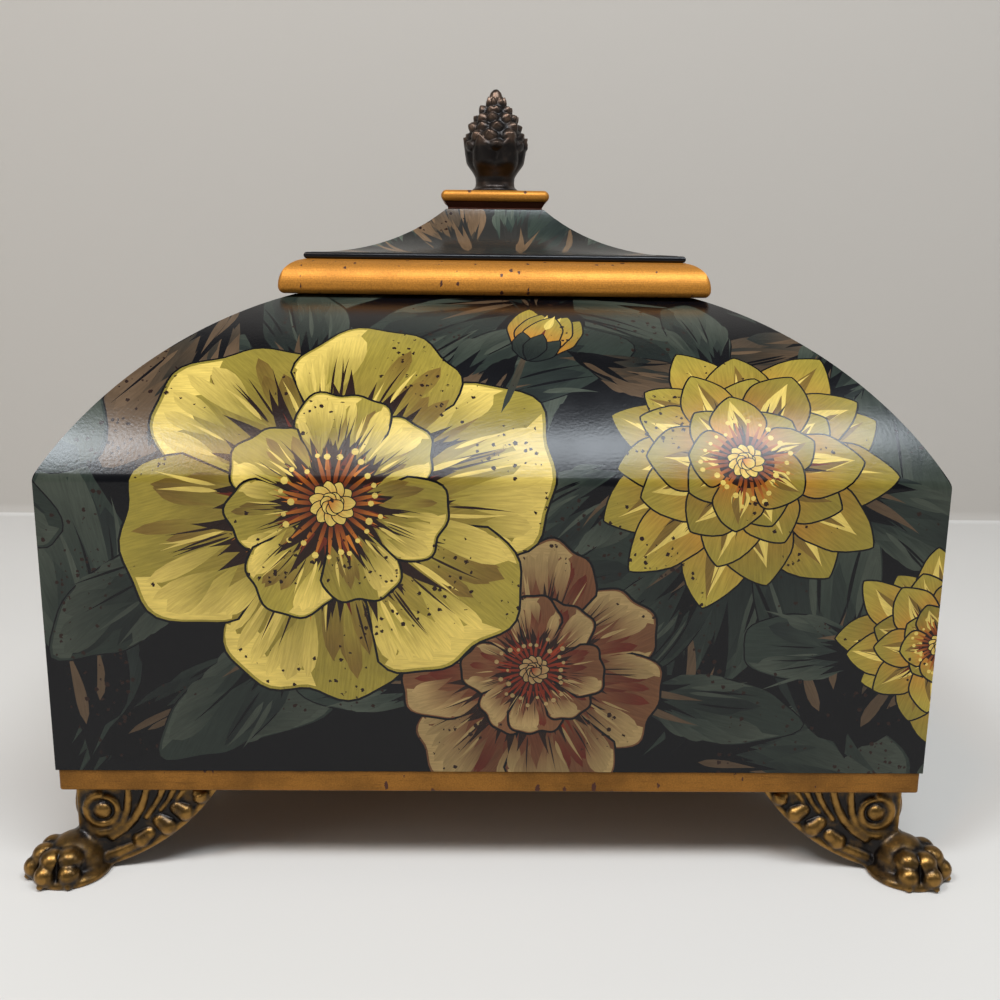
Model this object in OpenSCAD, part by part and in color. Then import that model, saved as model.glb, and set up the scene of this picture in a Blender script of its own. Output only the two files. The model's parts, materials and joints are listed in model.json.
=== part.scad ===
// Casket on paw feet: a hip-roofed lacquered box with a lift-off pagoda lid and a pine cone knob.
// The origin is on the ground under the middle of the box, +Z is up and the front faces -Y.

/* [Body] */
// Width of the body across the front
body_w = 305; // [270:1:360]
// Depth of the body from front to back
body_d = 254; // [230:1:320]
// Height of the walls, from the underside of the plinth to the shoulder
shoulder_h = 112; // [90:1:150]
// Thickness of the walls and of the curved roof
wall_t = 9; // [7:0.5:12]

/* [Roof] */
// Run of each curved haunch, from the wall's face in to the flat top
haunch_run = 76; // [66:1:80]
// Rise of each haunch, from the shoulder to the flat top
haunch_rise = 59.3; // [50:0.1:66]
// Radius of the haunch's curve
haunch_r = 128; // [110:1:180]
// Height of wall face that is part of the haunch, below the shoulder
haunch_lip = 5; // [4:0.5:10]
// Radius of the rounded shoulder edge
shoulder_r = 6; // [3:0.5:9]
// Width of the flat rails round the mouth
mouth_rail_w = 14; // [10:0.5:18]
// Thickness of the mouth rails
mouth_rail_t = 9; // [6:0.5:12]

/* [Plinth and floor] */
// Height of the gilt plinth strips
plinth_h = 8; // [6:0.5:12]
// Width of the plinth strips
plinth_w = 14; // [13:0.5:20]
// How far the plinth stands in from the wall's face
plinth_inset = 0.5; // [0:0.1:1.5]
// Thickness of the floor board
floor_t = 6; // [4:0.5:9]
// Gap between the floor board and the walls
floor_gap = 0.3; // [0.2:0.1:1]
// Thickness of the felt on the floor
felt_t = 1.5; // [1:0.1:3]
// Margin of bare board round the felt
felt_margin = 0.5; // [0.3:0.1:3]
// Length of the short sides of each triangular glue block
glue_block_leg = 46; // [40:1:56]

/* [Feet] */
// Height of the feet under the plinth
foot_h = 32; // [29:0.5:38]
// How far the bracket stands in from the wall's face
bracket_inset = 3.5; // [2:0.5:5]
// Thickness of each wing of the bracket
bracket_t = 6; // [5:0.5:8]
// Reach of each wing along the plinth, from the wall's face
wing_reach = 55.5; // [53:0.5:58]
// Radius of the wing's swept lower edge
wing_r = 76; // [66:0.5:90]
// Distance from the wall's face at which the sweep ends, at the wing's lowest point
wing_low = 19; // [18:0.5:21]
// Ground clearance at the lowest point of the wing
wing_clear = 2.5; // [1.5:0.1:4]
// Radius of the bead along the wing's lower edge
wing_bead_r = 1.1; // [0.8:0.1:1.5]
// Radius of the bracket's rounded corner post
post_r = 7.5; // [6:0.5:9]
// Radius of the scroll ring, to the middle of its band
scroll_r = 5.2; // [4.5:0.1:6.5]
// Radius of the boss in the scroll
boss_r = 3.2; // [2.5:0.1:4]
// Thickness of the screwed flange between the wings
flange_t = 2.5; // [2:0.5:4]
// Radius of a foot screw's shank
screw_r = 1.5; // [1.2:0.1:2]
// Length of a foot screw under its head
screw_l = 9.5; // [8:0.5:10]

/* [Paws] */
// Distance of the ankle's centre from the two wall faces
ankle_in = 3; // [2:0.5:4]
// Radius of the ankle
ankle_r = 11; // [10:0.5:12]
// Reach of the two middle toes from the ankle's centre
toe_reach = 17; // [16:0.5:18]
// How much shorter the two outer toes are
toe_step = 1.8; // [1:0.1:2.5]
// Angle between neighbouring toes
toe_fan = 37; // [32:1:40]
// Radius of a toe's knuckle
knuckle_r = 4.8; // [4:0.1:5.2]
// Length of a claw
claw_l = 2.4; // [2:0.2:4]

/* [Lid] */
// How far the lid's moulding reaches out over the haunches
lid_overhang = 7; // [4:0.5:9]
// Height of the lid's gilt moulding
moulding_h = 13.2; // [10:0.1:16]
// Width of the lid's moulding strips
moulding_w = 13; // [11:0.5:16]
// Width of the moulding's bare rounded shoulder, outside the bead
moulding_show = 9; // [7:0.5:9]
// Radius under the moulding's outer edge
moulding_toe_r = 2.6; // [1.5:0.1:4]
// Thickness of the black bead board
bead_t = 2.6; // [2:0.1:4]
// Width of the bead's step outside the canopy
bead_step = 2.6; // [1.5:0.1:4]
// Height of the canopy's hollow curve
canopy_rise = 18.8; // [15:0.1:24]
// Width of the cap moulding
cap_w = 45; // [40:0.5:52]
// Depth of the cap moulding
cap_d = 33; // [29:0.5:38]
// Height of the cap's rounded gilt edge
cap_edge_h = 4.8; // [3:0.1:7]
// Height of the cap's splayed underside
cap_splay_h = 3; // [2:0.1:5]
// How far the splay draws in
cap_splay_in = 2.2; // [1:0.1:3.5]
// Depth of the locating lip under the lid
lip_h = 8; // [5:0.5:12]
// Width of the lip's strips
lip_w = 7; // [5:0.5:9]
// Gap between the lip and the mouth
lip_gap = 1; // [0.5:0.1:2]

/* [Pine cone] */
// Height of the pine cone knob
cone_h = 42; // [36:0.5:50]
// Largest radius of the pine cone, over its scales
cone_r = 14; // [12:0.1:15]
// Radius of the ring that the cone stands on
cone_foot_r = 9.8; // [9:0.1:11]
// Radius of the neck above the ring
cone_neck_r = 8.3; // [7:0.1:8.8]
// How far the scales stand out
scale_h = 1.7; // [1:0.1:2.2]
// Scales in each row
scales_round = 8; // [6:1:10]
// Rows of scales
scale_rows = 7; // [5:1:9]
// Radius of the stud that holds the knob
stud_r = 2.5; // [2:0.1:3]
// Depth of the stud in the knob
stud_in = 14; // [10:1:20]
// Clearance round the stud in the lid
stud_gap = 0.3; // [0.2:0.1:0.5]
// Radius of the recess for the nut under the lid
nut_well_r = 8; // [7.5:0.5:10]
// Depth of the recess for the nut
nut_well_h = 6; // [5.6:0.1:8]

/* [Hidden] */

$fn = 48;

// Numbers of the four sides, counted round from the front
front = 0;
right = 1;
back = 2;
left = 3;

// Heights above the ground
plinth_top_z = foot_h + plinth_h;
shoulder_z = foot_h + shoulder_h;
wall_top_z = shoulder_z - haunch_lip;
roof_z = shoulder_z + haunch_rise;
lid_top_z = roof_z + moulding_h;
canopy_z = lid_top_z + bead_t;
cap_z = canopy_z + canopy_rise;
knob_z = cap_z + cap_splay_h + cap_edge_h;

// Centre of the haunch's curve, measured in from the wall's face and up from the shoulder
haunch_chord = norm([haunch_run, haunch_rise]);
haunch_mid_drop = sqrt(pow(haunch_r, 2) - pow(haunch_chord / 2, 2)) / haunch_chord;
haunch_c = [
    haunch_run / 2 + haunch_rise * haunch_mid_drop,
    haunch_rise / 2 - haunch_run * haunch_mid_drop
];

// Centre of a wing's swept edge, measured along the wing and up, and its angles at the low point and the tip
wing_chord = [wing_reach - wing_low, foot_h - wing_clear];
wing_mid_drop = sqrt(pow(wing_r, 2) - pow(norm(wing_chord) / 2, 2)) / norm(wing_chord);
wing_c = [wing_low, wing_clear] + wing_chord / 2 + wing_mid_drop * [-wing_chord.y, wing_chord.x];
wing_low_turn = atan2(wing_low - wing_c.x, wing_c.y - wing_clear);
wing_tip_turn = atan2(wing_reach - wing_c.x, wing_c.y - foot_h);

// The mouth, the lid and its lip, as [width, depth]
mouth = [body_w, body_d] - 2 * (haunch_run + mouth_rail_w) * [1, 1];
lid = [body_w, body_d] - 2 * (haunch_run - lid_overhang) * [1, 1];
lip = mouth - 2 * lip_gap * [1, 1];
board = lid - 2 * moulding_w * [1, 1];
bead = lid - 2 * moulding_show * [1, 1];
canopy = bead - 2 * bead_step * [1, 1];
cap = [cap_w, cap_d];
cap_foot = cap - 2 * cap_splay_in * [1, 1];

// Screws in each foot, as places from the body's corner
screw_places = [[21, 21], [36, 20], [20, 36]];
screw_head_r = 3.1;
screw_head_h = 1.8;
screw_slot = [0.9, 0.8];
screw_hole_gap = 0.4;

// The lacquer's colours
lacquer = "#15151a";
gilt = "#b5822c";
bronze = "#6b5028";

// Outer length of one side of a frame of the given size
function side_length(side, size) = side % 2 == 0 ? size.x : size.y;

// Distance from the middle of the frame to that side
function side_reach(side, size) = side % 2 == 0 ? size.y / 2 : size.x / 2;

// Places a piece of a frame: +X runs along the side and +Y runs inwards from its outer face
module on_side(side, size) {
    rotate([0, 0, 90 * side])
        translate([0, -side_reach(side, size), 0])
            children();
}

// One strip of a four-sided frame with mitred ends; the section is drawn as [inwards, up]
module mitred_strip(side, size, width) {
    length = side_length(side, size);
    bottom = -200;
    top = 400;
    on_side(side, size)
        intersection() {
            rotate([90, 0, 90])
                linear_extrude(length, center = true)
                    children();
            translate([0, 0, bottom])
                linear_extrude(top - bottom)
                    polygon([
                        [-length / 2, 0],
                        [length / 2, 0],
                        [length / 2 - width, width],
                        [-length / 2 + width, width]
                    ]);
        }
}

// A block whose four sides follow one half-section each way: children 0 and 1 are drawn as [out, up]
module four_sided_block(size) {
    intersection() {
        rotate([90, 0, 0])
            linear_extrude(size.y, center = true)
                children(0);
        rotate([90, 0, 90])
            linear_extrude(size.x, center = true)
                children(1);
    }
}

// Puts a piece drawn at the front left corner at each corner; the corner is [+1 or -1, +1 or -1]
module at_corner(corner) {
    translate([corner.x * body_w / 2, corner.y * body_d / 2, 0])
        mirror([corner.x > 0 ? 1 : 0, 0, 0])
            mirror([0, corner.y > 0 ? 1 : 0, 0])
                children();
}

module wall(side) {
    color(lacquer)
        mitred_strip(side, [body_w, body_d], wall_t)
            translate([0, plinth_top_z])
                square([wall_t, wall_top_z - plinth_top_z]);
}

// Section of a haunch: a curved shell that starts with a short length of wall
module haunch_section() {
    edge_c = [
        shoulder_r,
        haunch_c.y + sqrt(pow(haunch_r - shoulder_r, 2) - pow(haunch_c.x - shoulder_r, 2))
    ];
    edge_angle = atan2(edge_c.y - haunch_c.y, edge_c.x - haunch_c.x);
    far = 2 * shoulder_r;
    difference() {
        intersection() {
            translate([0, -haunch_lip])
                square([haunch_run, haunch_rise + haunch_lip]);
            translate(haunch_c)
                circle(haunch_r, $fn = 180);
        }
        translate(haunch_c)
            circle(haunch_r - wall_t, $fn = 180);
        difference() {
            polygon([
                edge_c,
                edge_c + far * [-1, 0],
                edge_c + far * [-1, 1],
                edge_c + far * [cos(edge_angle), sin(edge_angle)]
            ]);
            translate(edge_c)
                circle(shoulder_r);
        }
    }
}

module haunch(side) {
    color(lacquer)
        mitred_strip(side, [body_w, body_d], haunch_run)
            translate([0, shoulder_z])
                haunch_section();
}

module mouth_rail(side) {
    color(lacquer)
        mitred_strip(side, mouth + 2 * mouth_rail_w * [1, 1], mouth_rail_w)
            translate([0, roof_z - mouth_rail_t])
                square([mouth_rail_w, mouth_rail_t]);
}

module plinth(side) {
    color(gilt)
        mitred_strip(side, [body_w, body_d] - 2 * plinth_inset * [1, 1], plinth_w)
            translate([0, foot_h])
                square([plinth_w, plinth_h]);
}

module floor_board() {
    size = [body_w, body_d] - 2 * (wall_t + floor_gap) * [1, 1];
    color("#3a2f28")
        translate([0, 0, plinth_top_z + floor_t / 2])
            cube([size.x, size.y, floor_t], center = true);
}

module floor_felt() {
    size = [body_w, body_d] - 2 * (wall_t + floor_gap + felt_margin) * [1, 1];
    color("#1d1a1c")
        translate([0, 0, plinth_top_z + floor_t + felt_t / 2])
            cube([size.x, size.y, felt_t], center = true);
}

// Triangular block glued into a corner of the plinth, with pilot holes for the foot's screws
module glue_block(corner) {
    start = plinth_inset + plinth_w;
    color("#8a6a45")
        at_corner(corner)
            difference() {
                translate([start, start, foot_h])
                    linear_extrude(plinth_h)
                        polygon([[0, 0], [glue_block_leg, 0], [0, glue_block_leg]]);
                for (place = screw_places)
                    translate([place.x, place.y, foot_h - 1])
                        cylinder(h = screw_l - flange_t + 1, r = screw_r);
            }
}

// Relief on a bracket wing, drawn on the plane of its face: [along, up], bulging towards +Z
module wing_relief() {
    scroll = [bracket_inset + 10.3, foot_h - 9.3];
    band_r = 1.7;
    lobes = [[0.81, 2.8, 3.5], [0.62, 4.6, 4.2], [0.44, 4.8, 4.5], [0.23, 5, 4.8], [0.03, 4.4, 4.2]];
    lobe_sink = 0.3;
    stems = [[23.2, 10.5], [29.4, 8.5], [35.3, 5], [39.8, 3.8]];
    stem_r = 1.6;
    translate([scroll.x, scroll.y, 0]) {
        rotate_extrude()
            translate([scroll_r, 0])
                circle(band_r);
        sphere(boss_r);
    }
    for (lobe = lobes) {
        turn = wing_low_turn + lobe[0] * (wing_tip_turn - wing_low_turn);
        place = wing_c + (wing_r - lobe[1]) * [sin(turn), -cos(turn)];
        translate([place.x, place.y, -lobe[2] * lobe_sink])
            sphere(lobe[2]);
    }
    for (stem = stems)
        translate([stem[0], foot_h - stem_r - stem[1], 0]) {
            rotate([-90, 0, 0])
                cylinder(h = stem[1], r = stem_r);
            sphere(stem_r);
        }
}

// One wing of a bracket along +X, with its outer face on the plane Y = bracket_inset
module bracket_wing() {
    start = [bracket_inset + post_r, wing_clear];
    size = [wing_reach, foot_h - wing_clear];
    translate([0, bracket_inset, 0])
        rotate([90, 0, 0]) {
            translate([0, 0, -bracket_t])
                linear_extrude(bracket_t)
                    intersection() {
                        translate(wing_c)
                            circle(wing_r, $fn = 240);
                        translate(start)
                            square(size);
                    }
            intersection() {
                translate(concat(wing_c, 0))
                    rotate_extrude($fn = 240)
                        translate([wing_r - wing_bead_r, 0])
                            circle(wing_bead_r, $fn = 24);
                translate(concat(start, -bracket_t))
                    cube(concat(size, 2 * bracket_t));
            }
        }
}

// Paw pointing out along the diagonal, with four knuckled toes and their claws
module paw() {
    ankle = [ankle_in, ankle_in, 3.5];
    knuckle_z = 7;
    knuckle_back = 7;
    pad_r = 4.1;
    pad_z = 4.3;
    pad_back = 4.4;
    tip_r = 2.8;
    claw_z = 2.6;
    claw_back = 1.5;
    claw_r = 1.8;
    claw_tip_r = 0.9;
    claw_tilt = 112;
    translate(ankle)
        sphere(ankle_r);
    for (toe = [-1.5:1:1.5]) {
        reach = toe_reach - (abs(toe) > 1 ? toe_step : 0);
        translate([ankle.x, ankle.y, 0])
            rotate([0, 0, 225 + toe * toe_fan]) {
                translate([reach - knuckle_back, 0, knuckle_z])
                    sphere(knuckle_r);
                translate([reach - pad_back, 0, pad_z])
                    sphere(pad_r);
                translate([reach - tip_r, 0, tip_r])
                    sphere(tip_r);
                translate([reach - claw_back, 0, claw_z])
                    rotate([0, claw_tilt, 0])
                        cylinder(h = claw_l, r1 = claw_r, r2 = claw_tip_r, $fn = 24);
            }
    }
}

module foot(corner) {
    post_c = bracket_inset + post_r;
    post_foot_z = wing_clear + 4;
    flange = 44;
    slab = [150, 150, 20];
    slab_corner = [-50, -50, 0];
    color(bronze)
        at_corner(corner)
            difference() {
                union() {
                    bracket_wing();
                    mirror([1, -1, 0])
                        bracket_wing();
                    translate([0, bracket_inset, 0])
                        rotate([90, 0, 0])
                            wing_relief();
                    mirror([1, -1, 0])
                        translate([0, bracket_inset, 0])
                            rotate([90, 0, 0])
                                wing_relief();
                    translate([post_c, post_c, post_foot_z])
                        cylinder(h = foot_h - post_foot_z, r = post_r);
                    translate([post_c, post_c, foot_h - flange_t])
                        linear_extrude(flange_t)
                            polygon([[0, 0], [flange - post_c, 0], [0, flange - post_c]]);
                    paw();
                }
                translate(slab_corner - [0, 0, slab.z])
                    cube(slab);
                translate(slab_corner + [0, 0, foot_h])
                    cube(slab);
                for (place = screw_places)
                    translate([place.x, place.y, foot_h - flange_t - 1])
                        cylinder(h = flange_t + 2, r = screw_r + screw_hole_gap);
            }
}

module foot_screw() {
    difference() {
        union() {
            translate([0, 0, -screw_head_h])
                cylinder(h = screw_head_h, r = screw_head_r);
            cylinder(h = screw_l, r = screw_r);
        }
        translate([-screw_head_r - 1, -screw_slot.x / 2, -screw_head_h - 1])
            cube([2 * screw_head_r + 2, screw_slot.x, screw_slot.y + 1]);
    }
}

module foot_screws() {
    color("#8c8a84")
        for (corner = [[-1, -1], [1, -1], [1, 1], [-1, 1]])
            at_corner(corner)
                for (place = screw_places)
                    translate([place.x, place.y, foot_h - flange_t])
                        foot_screw();
}

// Section of the lid's moulding: a thumb shape, steep outside and tucked in below
module moulding_section() {
    crown_r = moulding_h - moulding_toe_r;
    difference() {
        square([moulding_w, moulding_h]);
        difference() {
            translate([-1, moulding_toe_r])
                square([moulding_show + 1, crown_r + 1]);
            translate([crown_r, moulding_toe_r])
                circle(crown_r, $fn = 96);
        }
        difference() {
            translate([-1, -1])
                square([moulding_toe_r + 1, moulding_toe_r + 1]);
            translate([moulding_toe_r, moulding_toe_r])
                circle(moulding_toe_r);
        }
    }
}

module lid_moulding(side) {
    color(gilt)
        mitred_strip(side, lid, moulding_w)
            translate([0, roof_z])
                moulding_section();
}

module lid_lip(side) {
    color(lacquer)
        mitred_strip(side, lip, lip_w)
            translate([0, roof_z - lip_h])
                square([lip_w, lip_h]);
}

module stud_hole() {
    cylinder(h = knob_z + 1, r = stud_r + stud_gap);
}

module lid_board() {
    color(lacquer)
        difference() {
            translate([0, 0, roof_z + moulding_h / 2])
                cube([board.x, board.y, moulding_h], center = true);
            stud_hole();
            translate([0, 0, roof_z - 1])
                cylinder(h = nut_well_h + 1, r = nut_well_r);
        }
}

// Half-round edge board, drawn as [out, up] for one direction
module round_edged(half, thickness) {
    translate([-half + thickness / 2, 0])
        square([2 * half - thickness, thickness]);
    for (end = [-1, 1])
        translate([end * (half - thickness / 2), thickness / 2])
            circle(thickness / 2);
}

module lid_bead() {
    color("#0c0c10")
        difference() {
            translate([0, 0, lid_top_z])
                four_sided_block(bead) {
                    round_edged(bead.x / 2, bead_t);
                    round_edged(bead.y / 2, bead_t);
                }
            stud_hole();
        }
}

// Half-section of the canopy: level at the eaves and steepest under the cap
module canopy_section(foot_half, top_half) {
    run = foot_half - top_half;
    r = (pow(run, 2) + pow(canopy_rise, 2)) / (2 * canopy_rise);
    difference() {
        translate([-foot_half, 0])
            square([2 * foot_half, canopy_rise]);
        for (end = [-1, 1])
            translate([end * foot_half, r])
                circle(r, $fn = 240);
    }
}

module lid_canopy() {
    color(lacquer)
        difference() {
            translate([0, 0, canopy_z])
                four_sided_block(canopy) {
                    canopy_section(canopy.x / 2, cap_foot.x / 2);
                    canopy_section(canopy.y / 2, cap_foot.y / 2);
                }
            stud_hole();
        }
}

// Section of the cap: a splayed underside below a round edge
module cap_section(half) {
    neck = half - cap_splay_in;
    lip_in = cap_edge_h / 4;
    polygon([[-neck, 0], [neck, 0], [half - lip_in, cap_splay_h], [-half + lip_in, cap_splay_h]]);
    translate([0, cap_splay_h])
        round_edged(half, cap_edge_h);
}

module lid_cap() {
    color(gilt)
        difference() {
            translate([0, 0, cap_z])
                four_sided_block(cap) {
                    cap_section(cap.x / 2);
                    cap_section(cap.y / 2);
                }
            stud_hole();
        }
}

// Smooth step from 0 to 1 as t runs from 0 to 1
function ease(t) = let(c = min(1, max(0, t))) c * c * (3 - 2 * c);

// Radius of the knob under its scales, at height t as a share of the whole
cup_top = 0.42;
function cone_core(t) =
    t < 0.05 ? cone_foot_r
    : t < 0.09 ? cone_foot_r + (cone_neck_r - cone_foot_r) * ease((t - 0.05) / 0.04)
    : t < 0.2 ? cone_neck_r
    : t < cup_top ? cone_neck_r + (cone_r - scale_h - cone_neck_r) * ease((t - 0.2) / (cup_top - 0.2))
    : (cone_r - scale_h) * sqrt(max(0, 1 - pow((t - cup_top) / (1 - cup_top), 2.1)));

// How far a scale stands out: u is the place across it and v the place up it, both from 0 to 1 inside
function one_scale(u, v) =
    v < 0 || v > 1.25 ? 0
    : sqrt(max(0, 1 - pow(2 * u, 2))) * (v < 0.8 ? sin(90 * v / 0.8) : max(0, 1 - pow((v - 0.8) / 0.45, 2)));

// The scales' rows start a little below the widest place
rows_from = 0.3;
function scales(angle, t) =
    let(
        pitch = (1 - rows_from) / scale_rows,
        place = (t - rows_from) / pitch,
        low = floor(place)
    )
    scale_h * ease((1 - t) / 0.2) * max([
        for (row = [low - 1, low])
            let(
                turn = angle * scales_round / 360 + (row % 2 == 0 ? 0 : 0.5),
                across = turn - floor(turn) - 0.5
            )
            row < 0 ? 0 : one_scale(across, (place - row) / 1.5)
    ]);

module pine_cone_knob() {
    steps_round = 72;
    steps_up = 42;
    levels = [for (i = [0:steps_up]) pow(i / steps_up, 0.9)];
    rings = [
        for (t = levels)
            [for (j = [0:steps_round - 1])
                let(a = 360 * j / steps_round, r = max(0.6, cone_core(t) + scales(a, t)))
                [r * cos(a), r * sin(a), t * cone_h]]
    ];
    points = [for (ring = rings) each ring];
    function at(i, j) = i * steps_round + j % steps_round;
    faces = concat(
        [[for (j = [0:steps_round - 1]) at(0, j)]],
        [for (i = [0:steps_up - 1]) for (j = [0:steps_round - 1]) [at(i, j + 1), at(i, j), at(i + 1, j)]],
        [for (i = [0:steps_up - 1]) for (j = [0:steps_round - 1]) [at(i, j + 1), at(i + 1, j), at(i + 1, j + 1)]],
        [[for (j = [steps_round - 1:-1:0]) at(steps_up, j)]]
    );
    color(bronze)
        difference() {
            translate([0, 0, knob_z])
                polyhedron(points, faces, convexity = 4);
            translate([0, 0, knob_z - 1])
                cylinder(h = stud_in + 1, r = stud_r);
        }
}

washer_t = 1;
nut_h = 4;
nut_r = 4.6;

module knob_stud() {
    bottom = roof_z + nut_well_h - washer_t - nut_h;
    color("#8c8a84")
        translate([0, 0, bottom])
            cylinder(h = knob_z + stud_in - bottom, r = stud_r);
}

module knob_washer() {
    washer_r = 6.5;
    color("#8c8a84")
        translate([0, 0, roof_z + nut_well_h - washer_t])
            difference() {
                cylinder(h = washer_t, r = washer_r);
                translate([0, 0, -1])
                    cylinder(h = washer_t + 2, r = stud_r + stud_gap);
            }
}

module knob_nut() {
    color("#8c8a84")
        translate([0, 0, roof_z + nut_well_h - washer_t - nut_h])
            difference() {
                cylinder(h = nut_h, r = nut_r, $fn = 6);
                translate([0, 0, -1])
                    cylinder(h = nut_h + 2, r = stud_r);
            }
}

wall(front);  // front_wall
wall(right);  // right_wall
wall(back);  // back_wall
wall(left);  // left_wall
haunch(front);  // front_haunch
haunch(right);  // right_haunch
haunch(back);  // back_haunch
haunch(left);  // left_haunch
mouth_rail(front);  // front_mouth_rail
mouth_rail(right);  // right_mouth_rail
mouth_rail(back);  // back_mouth_rail
mouth_rail(left);  // left_mouth_rail
plinth(front);  // front_plinth
plinth(right);  // right_plinth
plinth(back);  // back_plinth
plinth(left);  // left_plinth
floor_board();
floor_felt();
glue_block([-1, -1]);  // front_left_glue_block
glue_block([1, -1]);  // front_right_glue_block
glue_block([1, 1]);  // back_right_glue_block
glue_block([-1, 1]);  // back_left_glue_block
foot([-1, -1]);  // front_left_foot
foot([1, -1]);  // front_right_foot
foot([1, 1]);  // back_right_foot
foot([-1, 1]);  // back_left_foot
foot_screws();
lid_board();
lid_moulding(front);  // front_lid_moulding
lid_moulding(right);  // right_lid_moulding
lid_moulding(back);  // back_lid_moulding
lid_moulding(left);  // left_lid_moulding
lid_lip(front);  // front_lid_lip
lid_lip(right);  // right_lid_lip
lid_lip(back);  // back_lid_lip
lid_lip(left);  // left_lid_lip
lid_bead();
lid_canopy();
lid_cap();
pine_cone_knob();
knob_stud();
knob_washer();
knob_nut();
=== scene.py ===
"""The looks of a lacquered casket on paw feet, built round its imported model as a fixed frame."""

import json
import math
from functools import reduce

import bmesh
import bpy
import numpy as np
from bpy.props import FloatProperty, FloatVectorProperty, IntProperty, PointerProperty
from bpy.types import Operator, Panel, PropertyGroup
from mathutils import Matrix, Vector
from mathutils.bvhtree import BVHTree
from mathutils.geometry import delaunay_2d_cdt

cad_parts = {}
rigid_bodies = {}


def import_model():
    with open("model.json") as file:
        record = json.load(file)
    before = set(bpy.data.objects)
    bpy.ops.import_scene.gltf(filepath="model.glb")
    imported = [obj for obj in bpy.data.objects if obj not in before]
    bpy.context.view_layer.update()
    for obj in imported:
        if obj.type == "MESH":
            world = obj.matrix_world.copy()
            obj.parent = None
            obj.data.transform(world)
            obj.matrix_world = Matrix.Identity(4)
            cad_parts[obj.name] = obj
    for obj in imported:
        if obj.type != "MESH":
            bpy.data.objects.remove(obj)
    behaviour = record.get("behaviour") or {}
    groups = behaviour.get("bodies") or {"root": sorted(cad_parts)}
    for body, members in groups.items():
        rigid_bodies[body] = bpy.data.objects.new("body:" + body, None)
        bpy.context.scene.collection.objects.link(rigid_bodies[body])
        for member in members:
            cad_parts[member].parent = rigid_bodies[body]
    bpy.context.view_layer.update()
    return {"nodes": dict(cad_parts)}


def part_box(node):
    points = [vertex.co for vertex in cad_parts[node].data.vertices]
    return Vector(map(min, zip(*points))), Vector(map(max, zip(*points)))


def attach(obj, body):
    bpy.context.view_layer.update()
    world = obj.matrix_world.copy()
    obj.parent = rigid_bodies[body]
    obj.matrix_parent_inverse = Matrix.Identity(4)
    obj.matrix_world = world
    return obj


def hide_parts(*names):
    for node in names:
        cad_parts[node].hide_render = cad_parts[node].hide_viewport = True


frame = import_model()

bl_info = {
    "name": "Painted casket",
    "version": (1, 0, 0),
    "blender": (4, 5, 0),
    "location": "View3D > Sidebar > Casket",
    "description": "Paints, gilds and casts a hip-roofed casket with a pagoda lid",
    "category": "Object",
}

MM = 0.001
SIDES = ("front", "right", "back", "left")
CORNERS = {"front_left": (-1, -1), "front_right": (1, -1), "back_right": (1, 1), "back_left": (-1, 1)}


def node_box(node):
    """Lowest and highest corner of a node, in millimetres."""
    low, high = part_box(node)
    return np.array(low) / MM, np.array(high) / MM


def linear(*srgb):
    """Linear colour of an sRGB colour given from 0 to 255."""
    c = np.array(srgb, float) / 255
    return tuple(np.where(c <= 0.04045, c / 12.92, ((c + 0.055) / 1.055) ** 2.4))


def colour(default, name, description):
    """A colour; its default is sRGB from 0 to 255."""
    return FloatVectorProperty(
        name=name, description=description, subtype="COLOR", size=3, min=0, max=1, default=linear(*default)
    )


def length(default, name, description, **more):
    """A length in millimetres."""
    return FloatProperty(name=name, description=description, default=default, **more)


def power(default, name, description):
    """The power of a light in watts."""
    return FloatProperty(name=name, description=description, default=default, min=0, unit="POWER")


# Settings


class CasketBodySettings(PropertyGroup):
    haunch_r: length(128, "Haunch radius", "Radius of the curved roof, in mm", min=110, max=180)
    haunch_lip: length(5, "Haunch lip", "Wall face that belongs to the haunch, in mm", min=4, max=10)
    shoulder_r: length(6, "Shoulder radius", "Radius of the rounded shoulder edge, in mm", min=3, max=9)
    coat: length(0.12, "Coat", "Thickness of the painted coat, in mm", min=0.05, max=0.3)
    seed: IntProperty(name="Seed", description="Seed of the brush strokes", default=7, min=0)


class CasketPaintSettings(PropertyGroup):
    ground: colour((7, 7, 10), "Ground", "Black ground of the lacquer")
    petal: colour((142, 126, 50), "Petal", "Main colour of the blossoms")
    petal_light: colour((200, 174, 88), "Petal light", "Light rim of the petals")
    petal_deep: colour((110, 86, 36), "Petal deep", "Ochre towards the middle of the blossoms")
    rust: colour((92, 34, 18), "Rust", "Rust strokes in the blossoms")
    orange: colour((178, 104, 34), "Orange", "Warm strokes at the foot of the petals")
    umber: colour((34, 19, 14), "Umber", "Dark brown strokes in the blossoms")
    leaf: colour((38, 45, 39), "Leaf", "Grey green of the leaves")
    leaf_light: colour((58, 63, 54), "Leaf light", "Light strokes on the leaves")
    leaf_dark: colour((26, 31, 29), "Leaf dark", "Shaded part of the leaves")
    taupe: colour((76, 60, 44), "Taupe", "Brown strokes on the leaves")


class CasketGiltSettings(PropertyGroup):
    bright: colour((186, 124, 46), "Bright gilding", "Gold paint of the lid's mouldings")
    dull: colour((146, 98, 38), "Dull gilding", "Gold paint of the plinth")
    # This dark brown also colours the painted shade on the cap's splay
    speck_and_shade: colour((62, 26, 10), "Specks", "Dark specks thrown on the gold")
    round_r: length(0.7, "Edge radius", "Radius of the plinth's worn edges, in mm", min=0.2, max=2)


class CasketCastingSettings(PropertyGroup):
    brass: colour((146, 110, 58), "Brass", "Worn high places of the feet")
    bronze: colour((98, 80, 68), "Bronze", "Worn high places of the knob")
    patina: colour((20, 14, 11), "Patina", "Dark patina in the recesses")
    step: length(0.45, "Grid step", "Grid step of the cast surfaces, in mm", min=0.3, max=1)


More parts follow.
